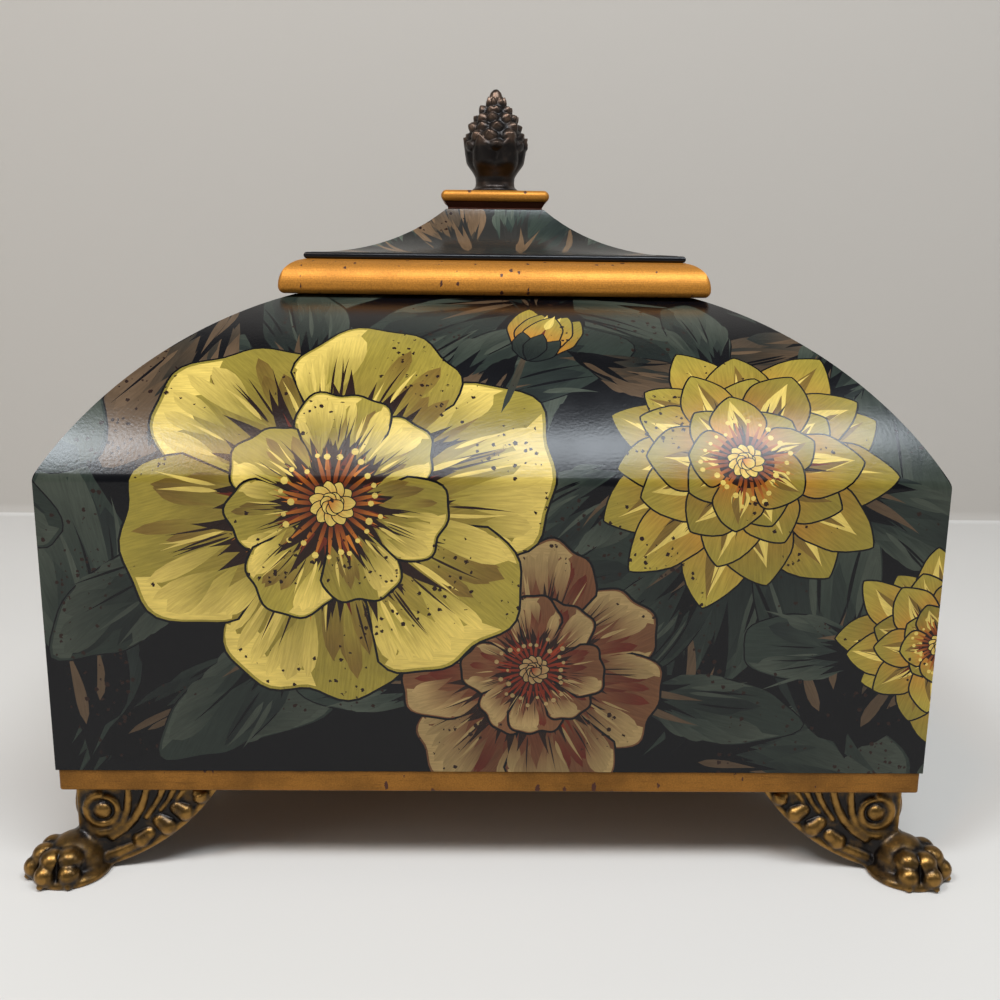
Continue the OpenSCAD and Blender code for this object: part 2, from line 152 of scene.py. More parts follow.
class CasketStageSettings(PropertyGroup):
    floor: colour((206, 202, 196), "Floor", "Colour of the floor")
    backdrop: colour((182, 176, 168), "Backdrop", "Colour of the backdrop")
    key_power: power(17.5, "Key light", "Power of the overhead soft light")
    fill_power: power(2.6, "Fill light", "Power of the two side lights")
    lens: length(37.8, "Lens", "Focal length of the camera in mm", min=20, max=200)


# Node helpers

FLOAT, VECTOR = "NodeSocketFloat", "NodeSocketVector"


def new_material(name):
    """An empty material with a Principled shader and its output."""
    material = bpy.data.materials.new(name)
    material.use_nodes = True
    tree = material.node_tree
    tree.nodes.clear()
    shader = tree.nodes.new("ShaderNodeBsdfPrincipled")
    output = tree.nodes.new("ShaderNodeOutputMaterial")
    tree.links.new(shader.outputs["BSDF"], output.inputs["Surface"])
    return material, tree, shader


def set_inputs(tree, node, **inputs):
    """Sets or links a node's inputs, each named with _ for a space, or with i_ and its number."""
    for key, value in inputs.items():
        socket = node.inputs[int(key[2:]) if key.startswith("i_") else key.replace("_", " ")]
        if isinstance(value, Field):
            value = value.socket
        if isinstance(value, bpy.types.NodeSocket):
            tree.links.new(value, socket)
        elif socket.type == "RGBA":
            socket.default_value = (*value, 1)
        else:
            socket.default_value = value


def add(tree, kind, settings=None, **inputs):
    """A new node of that kind, with its settings and inputs."""
    node = tree.nodes.new(kind)
    for key, value in (settings or {}).items():
        setattr(node, key, value)
    set_inputs(tree, node, **inputs)
    return node


def noise(tree, vector, scale, detail=2.0, roughness=0.5):
    """Noise from 0 to 1 over the surface."""
    node = add(tree, "ShaderNodeTexNoise", Vector=vector, Scale=scale, Detail=detail, Roughness=roughness)
    return node.outputs["Fac"]


def remap(tree, value, low, high, to_low=0.0, to_high=1.0):
    """A smooth step of the value from one range to another."""
    node = add(
        tree, "ShaderNodeMapRange", {"interpolation_type": "SMOOTHSTEP"},
        Value=value, From_Min=low, From_Max=high, To_Min=to_low, To_Max=to_high,
    )
    return node.outputs["Result"]


def maths(tree, operation, a, b=0.0):
    """The result of one Math node."""
    return add(tree, "ShaderNodeMath", {"operation": operation}, i_0=a, i_1=b).outputs[0]


def blend(tree, factor, a, b, mode="MIX"):
    """Colour a turning into colour b."""
    settings = {"data_type": "RGBA", "blend_type": mode}
    return add(tree, "ShaderNodeMix", settings, i_0=factor, i_6=a, i_7=b).outputs[2]


def grey_of(tree, value):
    """A grey of that brightness."""
    return add(tree, "ShaderNodeCombineColor", Red=value, Green=value, Blue=value).outputs[0]


def stretched(tree, place, scale):
    """A place that is stretched along its axes."""
    return add(tree, "ShaderNodeMapping", Vector=place, Scale=scale).outputs["Vector"]


def object_place(tree):
    """Object coordinates, which are metres in the shared frame."""
    return tree.nodes.new("ShaderNodeTexCoord").outputs["Object"]


def shader_group(name, inputs, outputs, build):
    """A shader node group; inputs are (name, socket type, default) and outputs (name, socket type)."""
    if name in bpy.data.node_groups:
        return bpy.data.node_groups[name]
    tree = bpy.data.node_groups.new(name, "ShaderNodeTree")
    for label, kind, default in inputs:
        socket = tree.interface.new_socket(label, in_out="INPUT", socket_type=kind)
        if default is not None:
            socket.default_value = default
    for label, kind in outputs:
        tree.interface.new_socket(label, in_out="OUTPUT", socket_type=kind)
    start = tree.nodes.new("NodeGroupInput")
    end = tree.nodes.new("NodeGroupOutput")
    build(tree, start.outputs, end.inputs)
    return tree


def place_group(tree, group, **inputs):
    """A shader node group in a tree, with its own inputs."""
    return add(tree, "ShaderNodeGroup", {"node_tree": group}, **inputs)


def specks_group():
    """Thrown specks: irregular dots of many sizes, gathered in clusters."""

    def build(tree, start, end):
        place = start["Place"]
        wobble = add(tree, "ShaderNodeTexNoise", Vector=place, Scale=2200.0, Detail=1.0).outputs["Color"]
        shift = add(tree, "ShaderNodeVectorMath", {"operation": "SCALE"}, i_0=wobble, Scale=0.0009).outputs[0]
        moved = add(tree, "ShaderNodeVectorMath", {"operation": "ADD"}, i_0=place, i_1=shift).outputs[0]
        cells = add(tree, "ShaderNodeTexVoronoi", Vector=moved, Scale=start["Density"], Randomness=1.0)
        chance = add(tree, "ShaderNodeSeparateColor", Color=cells.outputs["Color"])
        reach = maths(tree, "MULTIPLY", maths(tree, "POWER", chance.outputs[0], 3.2), start["Size"])
        near = maths(tree, "LESS_THAN", cells.outputs["Distance"], reach)
        bare = maths(tree, "SUBTRACT", 1.0, start["Cover"])
        cluster = remap(tree, noise(tree, place, 34.0, 3.0), bare, maths(tree, "ADD", bare, 0.12))
        kept = maths(tree, "LESS_THAN", chance.outputs[1], cluster)
        tree.links.new(maths(tree, "MULTIPLY", near, kept), end["Mask"])

    return shader_group(
        "Thrown specks",
        [("Place", VECTOR, None), ("Density", FLOAT, 300.0), ("Size", FLOAT, 0.4), ("Cover", FLOAT, 0.5)],
        [("Mask", FLOAT)],
        build,
    )


def orange_peel_group():
    """The slightly pebbled skin of sprayed lacquer, as a height."""

    def build(tree, start, end):
        fine = noise(tree, start["Place"], start["Scale"], 2.0)
        broad = noise(tree, start["Place"], 160.0, 1.0)
        tree.links.new(maths(tree, "ADD", fine, maths(tree, "MULTIPLY", broad, 0.6)), end["Height"])

    return shader_group(
        "Orange peel", [("Place", VECTOR, None), ("Scale", FLOAT, 900.0)], [("Height", FLOAT)], build
    )


def bump(tree, height, strength, distance):
    """A normal from a height; the distance is in metres."""
    node = add(tree, "ShaderNodeBump", Height=height, Strength=strength, Distance=distance)
    return node.outputs["Normal"]


# Materials


def painted_lacquer():
    """Brush strokes under satin lacquer; the strokes' colours and directions come from the mesh."""
    material, tree, shader = new_material("painted lacquer")
    paint = add(tree, "ShaderNodeAttribute", {"attribute_name": "paint"})
    brush = add(tree, "ShaderNodeUVMap", {"uv_map": "brush"}).outputs["UV"]
    place, brushed = object_place(tree), paint.outputs["Alpha"]
    bristles = noise(tree, stretched(tree, brush, (1.0, 0.07, 1.0)), 1.5, 4.0, 0.65)
    cloudy = noise(tree, place, 55.0, 3.0)
    light = remap(tree, bristles, 0.25, 0.75, 0.8, 1.15)
    shade = maths(tree, "MULTIPLY", light, remap(tree, cloudy, 0.2, 0.8, 0.86, 1.12))
    tint = blend(tree, brushed, (1.0, 1.0, 1.0), grey_of(tree, shade))
    stroked = blend(tree, 1.0, paint.outputs["Color"], tint, "MULTIPLY")
    specks = place_group(tree, specks_group(), Place=place, Density=560.0, Size=0.5, Cover=0.5)
    spotted = maths(tree, "MULTIPLY", specks.outputs["Mask"], brushed)
    peel = place_group(tree, orange_peel_group(), Place=place, Scale=900.0).outputs["Height"]
    ridges = maths(tree, "MULTIPLY", bristles, maths(tree, "MULTIPLY", brushed, 0.5))
    set_inputs(
        tree, shader, Specular_IOR_Level=0.27,
        Base_Color=blend(tree, spotted, stroked, tuple(bpy.context.scene.casket_paint.umber)),
        Roughness=remap(tree, cloudy, 0.2, 0.8, 0.2, 0.27),
        Normal=bump(tree, maths(tree, "ADD", peel, ridges), 0.35, 0.0001),
    )
    return material


def black_lacquer():
    """Plain black satin lacquer over wood."""
    material, tree, shader = new_material("black lacquer")
    place = object_place(tree)
    ground = tuple(bpy.context.scene.casket_paint.ground)
    cloudy = noise(tree, place, 60.0, 3.0)
    peel = place_group(tree, orange_peel_group(), Place=place, Scale=900.0).outputs["Height"]
    set_inputs(
        tree, shader, Specular_IOR_Level=0.27,
        Base_Color=blend(tree, cloudy, ground, tuple(1.6 * c for c in ground)),
        Roughness=remap(tree, cloudy, 0.2, 0.8, 0.2, 0.27),
        Normal=bump(tree, peel, 0.3, 0.0001),
    )
    return material


def gilding(name, gold, worn, shade_below=None):
    """Gold paint with brushed streaks, dull patches and thrown specks; brown below a given height, as painted
    shade.
    """
    brown = tuple(bpy.context.scene.casket_gilt.speck_and_shade)
    material, tree, shader = new_material(name)
    place = object_place(tree)
    streaks = noise(tree, stretched(tree, place, (0.12, 0.12, 1.6)), 900.0, 3.0, 0.6)
    patches = noise(tree, place, 45.0, 4.0, 0.6)
    fine = noise(tree, place, 1700.0, 3.0, 0.7)
    dark = tuple(0.42 * c for c in gold)
    mixed = blend(tree, remap(tree, patches, 0.35, 0.75, 0.0, worn), gold, dark)
    mixed = blend(tree, remap(tree, streaks, 0.55, 0.8, 0.0, worn), mixed, dark)
    grain = remap(tree, fine, 0.3, 0.7, 0.8, 1.16)
    mixed = blend(tree, 1.0, mixed, grey_of(tree, grain), "MULTIPLY")
    # Painted shade: below that height the gold turns the dark brown of the specks
    if shade_below:
        height = add(tree, "ShaderNodeSeparateXYZ", Vector=place).outputs[2]
        under = remap(tree, height, shade_below - 0.0002, shade_below + 0.0003, 1.0, 0.0)
        mixed = blend(tree, under, mixed, brown)
    tall = stretched(tree, place, (1.0, 1.0, 0.5))
    thrown = place_group(tree, specks_group(), Place=tall, Density=300.0, Size=0.3, Cover=0.66)
    specks = thrown.outputs["Mask"]
    set_inputs(
        tree, shader, Specular_IOR_Level=0.35,
        Base_Color=blend(tree, specks, mixed, brown),
        Metallic=maths(tree, "MULTIPLY", maths(tree, "SUBTRACT", 1.0, specks), 0.6),
        Roughness=remap(tree, patches, 0.2, 0.8, 0.42, 0.54),
        Normal=bump(tree, maths(tree, "ADD", fine, streaks), 0.35, 0.00008),
    )
    return material


def casting(name, bright, gloss):
    """Cast metal, dark in its recesses and rubbed bright on its high places."""
    patina = tuple(bpy.context.scene.casket_casting.patina)
    material, tree, shader = new_material(name)
    place = object_place(tree)
    relief = add(tree, "ShaderNodeAttribute", {"attribute_name": "relief"}).outputs["Fac"]
    blotches = noise(tree, place, 190.0, 4.0, 0.6)
    pits = noise(tree, place, 1300.0, 3.0, 0.6)
    high = maths(tree, "ADD", relief, remap(tree, blotches, 0.25, 0.75, -0.32, 0.26))
    tone = blend(tree, remap(tree, high, 0.05, 0.5), patina, tuple(0.3 * c for c in bright))
    set_inputs(
        tree, shader,
        Base_Color=blend(tree, remap(tree, high, 0.4, 1.0), tone, bright),
        Metallic=remap(tree, high, 0.2, 0.8, 0.55, 0.95),
        Roughness=remap(tree, blotches, 0.2, 0.8, gloss, gloss + 0.14),
        Normal=bump(tree, maths(tree, "ADD", blotches, pits), 0.4, 0.00012),
    )
    return material


def bare_wood():
    """Plain sanded wood with long grain."""
    material, tree, shader = new_material("bare wood")
    rings = noise(tree, stretched(tree, object_place(tree), (0.06, 1.0, 1.0)), 420.0, 5.0, 0.65)
    dark, pale = linear(124, 92, 60), linear(164, 128, 88)
    set_inputs(
        tree, shader, Roughness=0.65,
        Base_Color=blend(tree, remap(tree, rings, 0.3, 0.7), dark, pale),
        Normal=bump(tree, rings, 0.3, 0.0002),
    )
    return material


def wool_felt():
    """Black felt: a nap of short fibres in all directions."""
    material, tree, shader = new_material("wool felt")
    place = object_place(tree)
    fibres = noise(tree, place, 1400.0, 5.0, 0.75)
    clumps = noise(tree, place, 120.0, 3.0)
    nap = maths(tree, "MULTIPLY", fibres, clumps)
    set_inputs(
        tree, shader, Roughness=0.95, Sheen_Weight=0.4,
        Base_Color=blend(tree, nap, linear(16, 15, 17), linear(58, 55, 56)),
        Normal=bump(tree, fibres, 0.8, 0.0004),
    )
    return material


def zinc_steel():
    """Zinc plated fixings with faint turning marks."""
    material, tree, shader = new_material("zinc steel")
    marks = noise(tree, object_place(tree), 800.0, 3.0)
    set_inputs(
        tree, shader, Metallic=1.0,
        Base_Color=blend(tree, marks, linear(120, 118, 112), linear(186, 184, 178)),
        Roughness=remap(tree, marks, 0.2, 0.8, 0.28, 0.42),
        Normal=bump(tree, marks, 0.2, 0.00005),
    )
    return material


def finish_node(material, *nodes):
    """Gives CAD nodes a finish."""
    for name in nodes:
        for entry in frame["nodes"][name].material_slots:
            entry.material = material


# Mesh helpers


def in_scene(name, data):
    """A new object in the scene, at the origin."""
    thing = bpy.data.objects.new(name, data)
    bpy.context.scene.collection.objects.link(thing)
    return thing


def one_material(mesh, material):
    """Gives the whole mesh one material and smooth shading."""
    mesh.materials.clear()
    mesh.materials.append(material)
    mesh.polygons.foreach_set("material_index", [0] * len(mesh.polygons))
    mesh.polygons.foreach_set("use_smooth", [True] * len(mesh.polygons))
    mesh.update()


def make_object(name, vertices, faces, material):
    """A smooth mesh object at the origin; vertices are in millimetres."""
    mesh = bpy.data.meshes.new(name)
    mesh.from_pydata((np.asarray(vertices, float) * MM).tolist(), [], faces)
    one_material(mesh, material)
    return in_scene(name, mesh)


def settled(holder, name):
    """A plain object with the holder's mesh after its modifiers; the holder goes."""
    graph = bpy.context.evaluated_depsgraph_get()
    mesh = bpy.data.meshes.new_from_object(holder.evaluated_get(graph))
    bpy.data.objects.remove(holder)
    mesh.name = name
    return in_scene(name, mesh)


def set_relief(mesh, values):
    """Stores how high each point stands over its surroundings, from 0 to 1, for the cast metal."""
    layer = mesh.attributes.new("relief", "FLOAT", "POINT")
    layer.data.foreach_set("value", np.clip(values, 0, 1).astype(np.float32))


def sheet_faces(rows, columns):
    """Faces of a closed sheet between two grids of points, the upper side's points first."""
    count, shift = columns + 1, (rows + 1) * (columns + 1)
    faces = []
    for i in range(rows):
        for j in range(columns):
            a = i * count + j
            faces.append((a, a + 1, a + count + 1, a + count))
            faces.append((a + shift, a + shift + count, a + shift + count + 1, a + shift + 1))
    edge = list(range(count)) + [i * count + columns for i in range(1, rows + 1)]
    edge += [rows * count + j for j in range(columns - 1, -1, -1)]
    edge += [i * count for i in range(rows - 1, 0, -1)]
    for a, b in zip(edge, edge[1:] + edge[:1]):
        faces.append((b, a, a + shift, b + shift))
    return faces


def tidy_normals(piece, angle=35):
    """Merges doubles, turns the faces outwards and keeps edges over the angle sharp."""
    mesh = piece.data
    work = bmesh.new()
    work.from_mesh(mesh)
    bmesh.ops.remove_doubles(work, verts=work.verts, dist=1e-7)
    bmesh.ops.dissolve_degenerate(work, edges=work.edges, dist=1e-8)
    bmesh.ops.recalc_face_normals(work, faces=work.faces)
    for edge in work.edges:
        edge.smooth = len(edge.link_faces) == 2 and edge.calc_face_angle(0) < math.radians(angle)
    work.to_mesh(mesh)
    work.free()
    mesh.update()


def arc_points(cx, cy, r, start, end, steps):
    """Points of an arc, both ends included; angles in degrees."""
    return [
        (cx + r * math.cos(math.radians(a)), cy + r * math.sin(math.radians(a)))
        for a in np.linspace(start, end, steps)
    ]


# The outline of the body, from the plinth up the wall and over the haunch


class BodyProfile:
    """Maps v, the distance up the outside of a side, to (run in from the wall, height, slope of the face)."""

    def __init__(self, settings):
        wall_low, wall_high = node_box("front_wall")
        haunch_low, haunch_high = node_box("front_haunch")
        self.base = wall_low[2]
        shoulder = wall_high[2] + settings.haunch_lip
        run = haunch_high[1] - haunch_low[1]
        rise = haunch_high[2] - shoulder
        chord = math.hypot(run, rise)
        drop = math.sqrt(settings.haunch_r ** 2 - chord ** 2 / 4) / chord
        self.r = settings.haunch_r
        self.cs = run / 2 + rise * drop
        self.cz = shoulder + rise / 2 - run * drop
        self.er = settings.shoulder_r
        self.ez = self.cz + math.sqrt((self.r - self.er) ** 2 - (self.cs - self.er) ** 2)
        self.turn = math.atan2(self.ez - self.cz, self.cs - self.er)
        self.wall = self.ez - self.base
        self.edge = self.wall + self.er * self.turn
        self.run = run

    def at(self, v):
        """Run in, height and slope at v."""
        v = np.asarray(v, float)
        edge_angle = np.clip((v - self.wall) / self.er, 0, self.turn)
        roof_angle = self.turn + np.clip(v - self.edge, 0, None) / self.r
        on_roof = v > self.edge
        angle = np.where(on_roof, roof_angle, edge_angle)
        s = np.where(on_roof, self.cs - self.r * np.cos(angle), self.er * (1 - np.cos(angle)))
        z = np.where(on_roof, self.cz + self.r * np.sin(angle), self.ez + self.er * np.sin(angle))
        z = np.where(v < self.wall, self.base + v, z)
        return s, z, angle

    def where_run(self, run):
        """The v at which the roof has run in that far."""
        return self.edge + self.r * (math.acos((self.cs - run) / self.r) - self.turn)

    def heights(self, top, wall_step=6.0, edge_step=0.5, roof_step=3.2):
        """Values of v up to the top, close together where the surface bends."""
        up = np.arange(0, self.wall, wall_step)
        over = np.linspace(self.wall, self.edge, max(3, int((self.edge - self.wall) / edge_step)))
        roof = np.linspace(self.edge, top, int((top - self.edge) / roof_step))
        return np.unique(np.concatenate([up, over, roof]))


# Brush strokes: closed outlines with a colour, a direction and a place in the order of painting


class Painter:
    """Collects strokes in the flat of one panel; later strokes cover earlier ones."""

    def __init__(self, palette):
        self.palette = palette
        self.strokes = []
        self.origin = np.zeros(2)
        self.rng = np.random.default_rng(0)

    def begin(self, x, y, seed):
        """Moves the origin to a motif's place and starts its own row of random numbers."""
        self.origin = np.array([x, y], float)
        self.rng = np.random.default_rng(seed)

    def colour(self, name, light=1.0):
        return np.array(self.palette[name]) * light

    def stroke(self, loop, base, tip=None, brushed=1.0, start=(0, 0), angle=0.0, reach=1.0, light=1.0):
        """Adds a closed outline drawn about the origin, coloured from base to tip along its angle."""
        loop = np.asarray(loop, float) + self.origin
        area = np.sum(loop[:, 0] * np.roll(loop[:, 1], -1) - np.roll(loop[:, 0], -1) * loop[:, 1])
        if area < 0:
            loop = loop[::-1]
        self.strokes.append({
            "loop": loop,
            "base": self.colour(base, light),
            "tip": self.colour(tip or base, light),
            "brushed": brushed,
            "start": np.asarray(start, float) + self.origin,
            "axis": np.array([math.cos(angle), math.sin(angle)]),
            "reach": max(reach, 1e-3),
            "drift": self.rng.uniform(0, 400, 2),
        })

    def curve(self, start, angle, reach, bend, t):
        """Points along a bent middle line, and its direction there."""
        t = np.asarray(t, float)
        side = bend * reach * t ** 2
        c, s = math.cos(angle), math.sin(angle)
        x = start[0] + c * reach * t - s * side
        y = start[1] + s * reach * t + c * side
        return x, y, angle + np.arctan(2 * bend * t)

    def blade(self, start, angle, reach, width, bend, belly, blunt, waves, steps):
        """Outline of a petal, leaf or flame: pointed at the start, widest where belly says."""
        t = np.concatenate([np.linspace(0, 0.8, steps - 4), 1 - 0.2 * np.linspace(0.75, 0, 5) ** 1.6])
        half = width / 2 * np.sin(np.pi * t ** belly).clip(0) ** blunt
        x, y, turn = self.curve(start, angle, reach, bend, t)
        ripple = [
            1 + waves * np.sin(self.rng.uniform(2, 4) * 6.28 * t + self.rng.uniform(0, 6)) for _ in (0, 1)
        ]
        left = np.stack([x - np.sin(turn) * half * ripple[0], y + np.cos(turn) * half * ripple[0]], 1)
        right = np.stack([x + np.sin(turn) * half * ripple[1], y - np.cos(turn) * half * ripple[1]], 1)
        return np.concatenate([right, left[-2:0:-1]])

    def flame(self, start, angle, reach, width, base, tip=None, bend=0.0, light=1.0):
        """One slim pointed stroke of the brush."""
        loop = self.blade(start, angle, reach, width, bend, 0.62, 1.15, 0.0, 11)
        self.stroke(loop, base, tip, 1.0, start, angle, reach, light)

    def swell(self, loop, by):
        """The outline moved outwards, for the dark line round a petal."""
        ahead = np.roll(loop, -1, 0) - np.roll(loop, 1, 0)
        out = np.stack([ahead[:, 1], -ahead[:, 0]], 1)
        size = np.linalg.norm(out, axis=1, keepdims=True)
        return loop + by * out / np.maximum(size, 1e-9)

    def petal(self, start, angle, reach, width, base, tip,
              line=0.7, blunt=0.62, belly=1.5, waves=0.04, bend=0.0, light=1.0):
        """One long petal with a dark line round it."""
        loop = self.blade(start, angle, reach, width, bend, belly, blunt, waves, 22)
        self.stroke(self.swell(loop, line), "ground", brushed=0.0)
        self.stroke(loop, base, tip, 1.0, start, angle, reach, light)

    def fan_petal(self, angle, reach, spread, light=1.0, notch=None, power=2.8, bend=0.0, line=0.8, foot=0.3):
        """One broad petal or leaf with a ruffled rim, light at the rim and with dark flames at its foot."""
        rng = self.rng
        ruffle = rng.uniform(0, 6.28, 3)
        notch = notch or rng.uniform(0.2, 0.3)

        def rim(q):
            wave = 0.03 * math.sin(5 * q + ruffle[0]) + 0.018 * math.sin(11 * q + ruffle[1])
            return reach * (1 - notch * abs(q) ** power) * (1 + wave)

        def at(q, r):
            a = angle + bend * r / reach + q * spread / 2 * (0.72 + 0.28 * r / reach)
            return r * math.cos(a), r * math.sin(a)

        def flare(q, r, long, width, base, tip=None, inwards=False, curl=0.0, shade=1.0):
            x, y = at(q, r)
            turn = math.atan2(y, x) + math.atan(bend * r / reach) + (math.pi if inwards else 0)
            sway = (-1 if inwards else 1) * bend * 0.4
            self.flame((x, y), turn, long, width, base, tip, curl + sway, light * shade)

        side = [at(-0.94, 0.25 * rim(-1)), at(-1.0, 0.66 * rim(-1))]
        far_side = [at(1.0, 0.66 * rim(1)), at(0.94, 0.25 * rim(1))]
        ruffled = [at(q, rim(q)) for q in np.linspace(-1, 1, 27)]
        loop = np.array([(0.0, 0.0)] + side + ruffled + far_side)
        self.stroke(self.swell(loop, line), "ground", brushed=0.0)
        self.stroke(loop, "petal_deep", "petal", 1.0, (0, 0), angle, reach, light)
        lit = rng.choice((-1, 1))
        for _ in range(6):
            q = -lit * rng.uniform(0.05, 0.95)
            flare(q, rim(q) * rng.uniform(0.75, 0.96), reach * rng.uniform(0.36, 0.6),
                  reach * rng.uniform(0.06, 0.12), "petal_deep", "petal", True,
                  -lit * rng.uniform(0.02, 0.2), rng.uniform(0.85, 1.1))
        self.rim_light(at, rim, flare, lit * 0.95, lit * rng.uniform(-0.25, 0.3), 0.2)
        if rng.random() < 0.5:
            self.rim_light(at, rim, flare, -lit * 0.9, -lit * rng.uniform(0.5, 0.7), 0.12)
        ragged = [
            at(q, reach * (foot + 0.05 * math.sin(9 * q + ruffle[2]))) for q in np.linspace(-0.97, 0.97, 15)
        ]
        self.stroke([(0.0, 0.0)] + ragged, "umber", brushed=0.7)
        count = round(10 * spread)
        for i in range(count):
            q = (2 * i + 1) / count - 1 + rng.uniform(-0.06, 0.06)
            flare(q, reach * (foot - rng.uniform(0.04, 0.12)),
                  reach * rng.uniform(0.24, 0.48) * (1 - 0.2 * q * q), reach * rng.uniform(0.05, 0.1),
                  "umber", curl=rng.uniform(-0.22, 0.22))
        for i in range(count // 2):
            flare(rng.uniform(-0.85, 0.85), reach * rng.uniform(0.12, 0.26), reach * rng.uniform(0.2, 0.36),
                  reach * rng.uniform(0.022, 0.05), "rust" if i % 3 else "orange",
                  curl=rng.uniform(-0.2, 0.2))
        for _ in range(count // 3):
            flare(rng.uniform(-0.85, 0.85), reach * rng.uniform(0.42, 0.6), reach * rng.uniform(0.2, 0.34),
                  reach * rng.uniform(0.014, 0.03), "petal_light", curl=rng.uniform(-0.12, 0.12))
            flare(rng.uniform(-0.8, 0.8), reach * 0.5, reach * 0.3, reach * 0.012, "umber",
                  curl=rng.uniform(-0.1, 0.1))

    def rim_light(self, at, rim, flare, q0, q1, depth):
        """A light patch along a ruffled rim, with curved flames that run to the middle of the flower."""
        rng = self.rng
        outer, inner = [], []
        for t in np.linspace(0, 1, 15):
            q = q0 + (q1 - q0) * t
            fade = math.sin(math.pi * (0.06 + 0.88 * t)) ** 0.7
            outer.append(at(q, rim(q) * 0.985))
            inner.append(at(q, rim(q) * (0.975 - depth * fade * (0.8 + 0.25 * math.sin(17 * q)))))
        self.stroke(outer[::-1] + inner[1:-1], "petal_light")
        for k in range(6):
            q = q0 + (q1 - q0) * (k + 0.5) / 6
            reach = rim(q)
            flare(q, reach * 0.95, reach * rng.uniform(0.3, 0.52), reach * rng.uniform(0.07, 0.13),
                  "petal_light", "petal", True, rng.uniform(-0.18, 0.18), rng.uniform(0.92, 1.06))

    def open_bloom(self, radius, petals, turn):
        """A wide open flower: broad petals and a boss ringed with stamens."""
        rng = self.rng
        for k in sorted(range(petals), key=lambda k: (k % 2, k)):
            angle = turn + 2 * math.pi * k / petals + rng.uniform(-0.09, 0.09)
            reach = radius * rng.uniform(0.86, 1.06)
            spread = 2 * math.pi / petals * rng.uniform(1.1, 1.3)
            self.fan_petal(angle, reach, spread, rng.uniform(0.8, 1.08))
        for k in range(petals + 1):
            angle = turn + 0.4 + 2 * math.pi * k / (petals + 1) + rng.uniform(-0.15, 0.15)
            self.fan_petal(angle, radius * rng.uniform(0.44, 0.56), 1.15, rng.uniform(0.9, 1.12))
        self.boss(radius * 0.2)

    def boss(self, radius):
        """The seed head: a dark disc, a crown of stamens and a dome of small petals."""
        rng = self.rng
        ring = [(radius * 0.8 * math.cos(a), radius * 0.8 * math.sin(a)) for a in np.linspace(0, 6.1, 20)]
        self.stroke(ring, "umber", brushed=0.6)
        for k in range(26):
            a = 2 * math.pi * k / 26 + rng.uniform(-0.06, 0.06)
            long = radius * rng.uniform(0.75, 1.15)
            self.flame((0.35 * radius * math.cos(a), 0.35 * radius * math.sin(a)), a, long, radius * 0.1,
                       "rust", "orange")
            tip = (1.15 * long * math.cos(a), 1.15 * long * math.sin(a))
            dot = radius * rng.uniform(0.055, 0.09)
            loop = [(tip[0] + dot * math.cos(b), tip[1] + dot * math.sin(b)) for b in np.linspace(0, 5.4, 7)]
            self.stroke(loop, "petal_light")
        for ring_r, count in ((0.62, 11), (0.36, 7)):
            for k in range(count):
                a = 2 * math.pi * k / count + ring_r
                start = (-0.1 * radius * math.cos(a), -0.1 * radius * math.sin(a))
                self.petal(start, a, radius * ring_r, radius * 0.3, "orange", "petal_light",
                           line=0.35, waves=0.0)

    def rayed_bloom(self, radius, rings, turn):
        """A many-petalled flower of narrow pointed petals in rings."""
        rng = self.rng
        for ring in range(rings):
            count = 15 - 3 * ring
            reach = radius * (1 - 0.27 * ring)
            width = 2 * math.pi * reach / count * 1.16
            for k in sorted(range(count), key=lambda i: (i % 2, i)):
                angle = turn + 2 * math.pi * (k + 0.5 * ring) / count + rng.uniform(-0.1, 0.1)
                long = reach * rng.uniform(0.82, 1.1)
                bend = rng.uniform(-0.16, 0.16)
                self.petal((0, 0), angle, long, width * rng.uniform(0.85, 1.1), "orange", "petal", line=0.6,
                           blunt=0.8, belly=1.35, waves=0.03, bend=bend, light=rng.uniform(0.72, 1.12))
                for side, tone, wide in (
                    (0.09, "petal_light", 0.34), (-0.1, "petal_deep", 0.26), (0.15, "petal_light", 0.1),
                ):
                    x, y, lean = self.curve((0, 0), angle, long, bend, rng.uniform(0.3, 0.42))
                    self.flame((float(x), float(y)), float(lean) + side, long * rng.uniform(0.42, 0.56),
                               width * wide, tone, bend=bend - side)
                foot = (0.16 * long * math.cos(angle), 0.16 * long * math.sin(angle))
                for side in (-0.12, 0.0, 0.13):
                    self.flame(foot, angle + side, long * rng.uniform(0.34, 0.6), width * 0.09,
                               "umber" if side else "rust", bend=bend)
        self.boss(radius * 0.24)

    def bud(self, angle, size):
        """A closed bud on a short stalk, with a few folded petals in a green cup."""
        rng = self.rng
        back = (-0.5 * size * math.cos(angle), -0.5 * size * math.sin(angle))
        self.flame((3 * back[0], 3 * back[1]), angle, 1.7 * size, size * 0.1, "leaf", "taupe", 0.1)
        for side in (-0.42, 0.42, -0.2, 0.22, 0.0):
            self.petal(back, angle + side, size * rng.uniform(1.1, 1.3), size * 0.52, "orange", "petal",
                       line=0.6, belly=1.15, blunt=0.8, bend=-0.25 * side, light=rng.uniform(0.85, 1.1))
            self.flame(back, angle + side * 0.8, size * 0.8, size * 0.13, "rust", bend=-0.2 * side)
            tip = (0.25 * size * math.cos(angle + side), 0.25 * size * math.sin(angle + side))
            self.flame(tip, angle + side * 0.6, size * 0.42, size * 0.12, "petal_light")
        for side in (-0.75, 0.75, 0.0):
            self.petal(back, angle + side * 0.8, size * 0.62, size * 0.3, "leaf_dark", "leaf", line=0.5,
                       belly=1.0, blunt=0.9, bend=-0.2 * side)

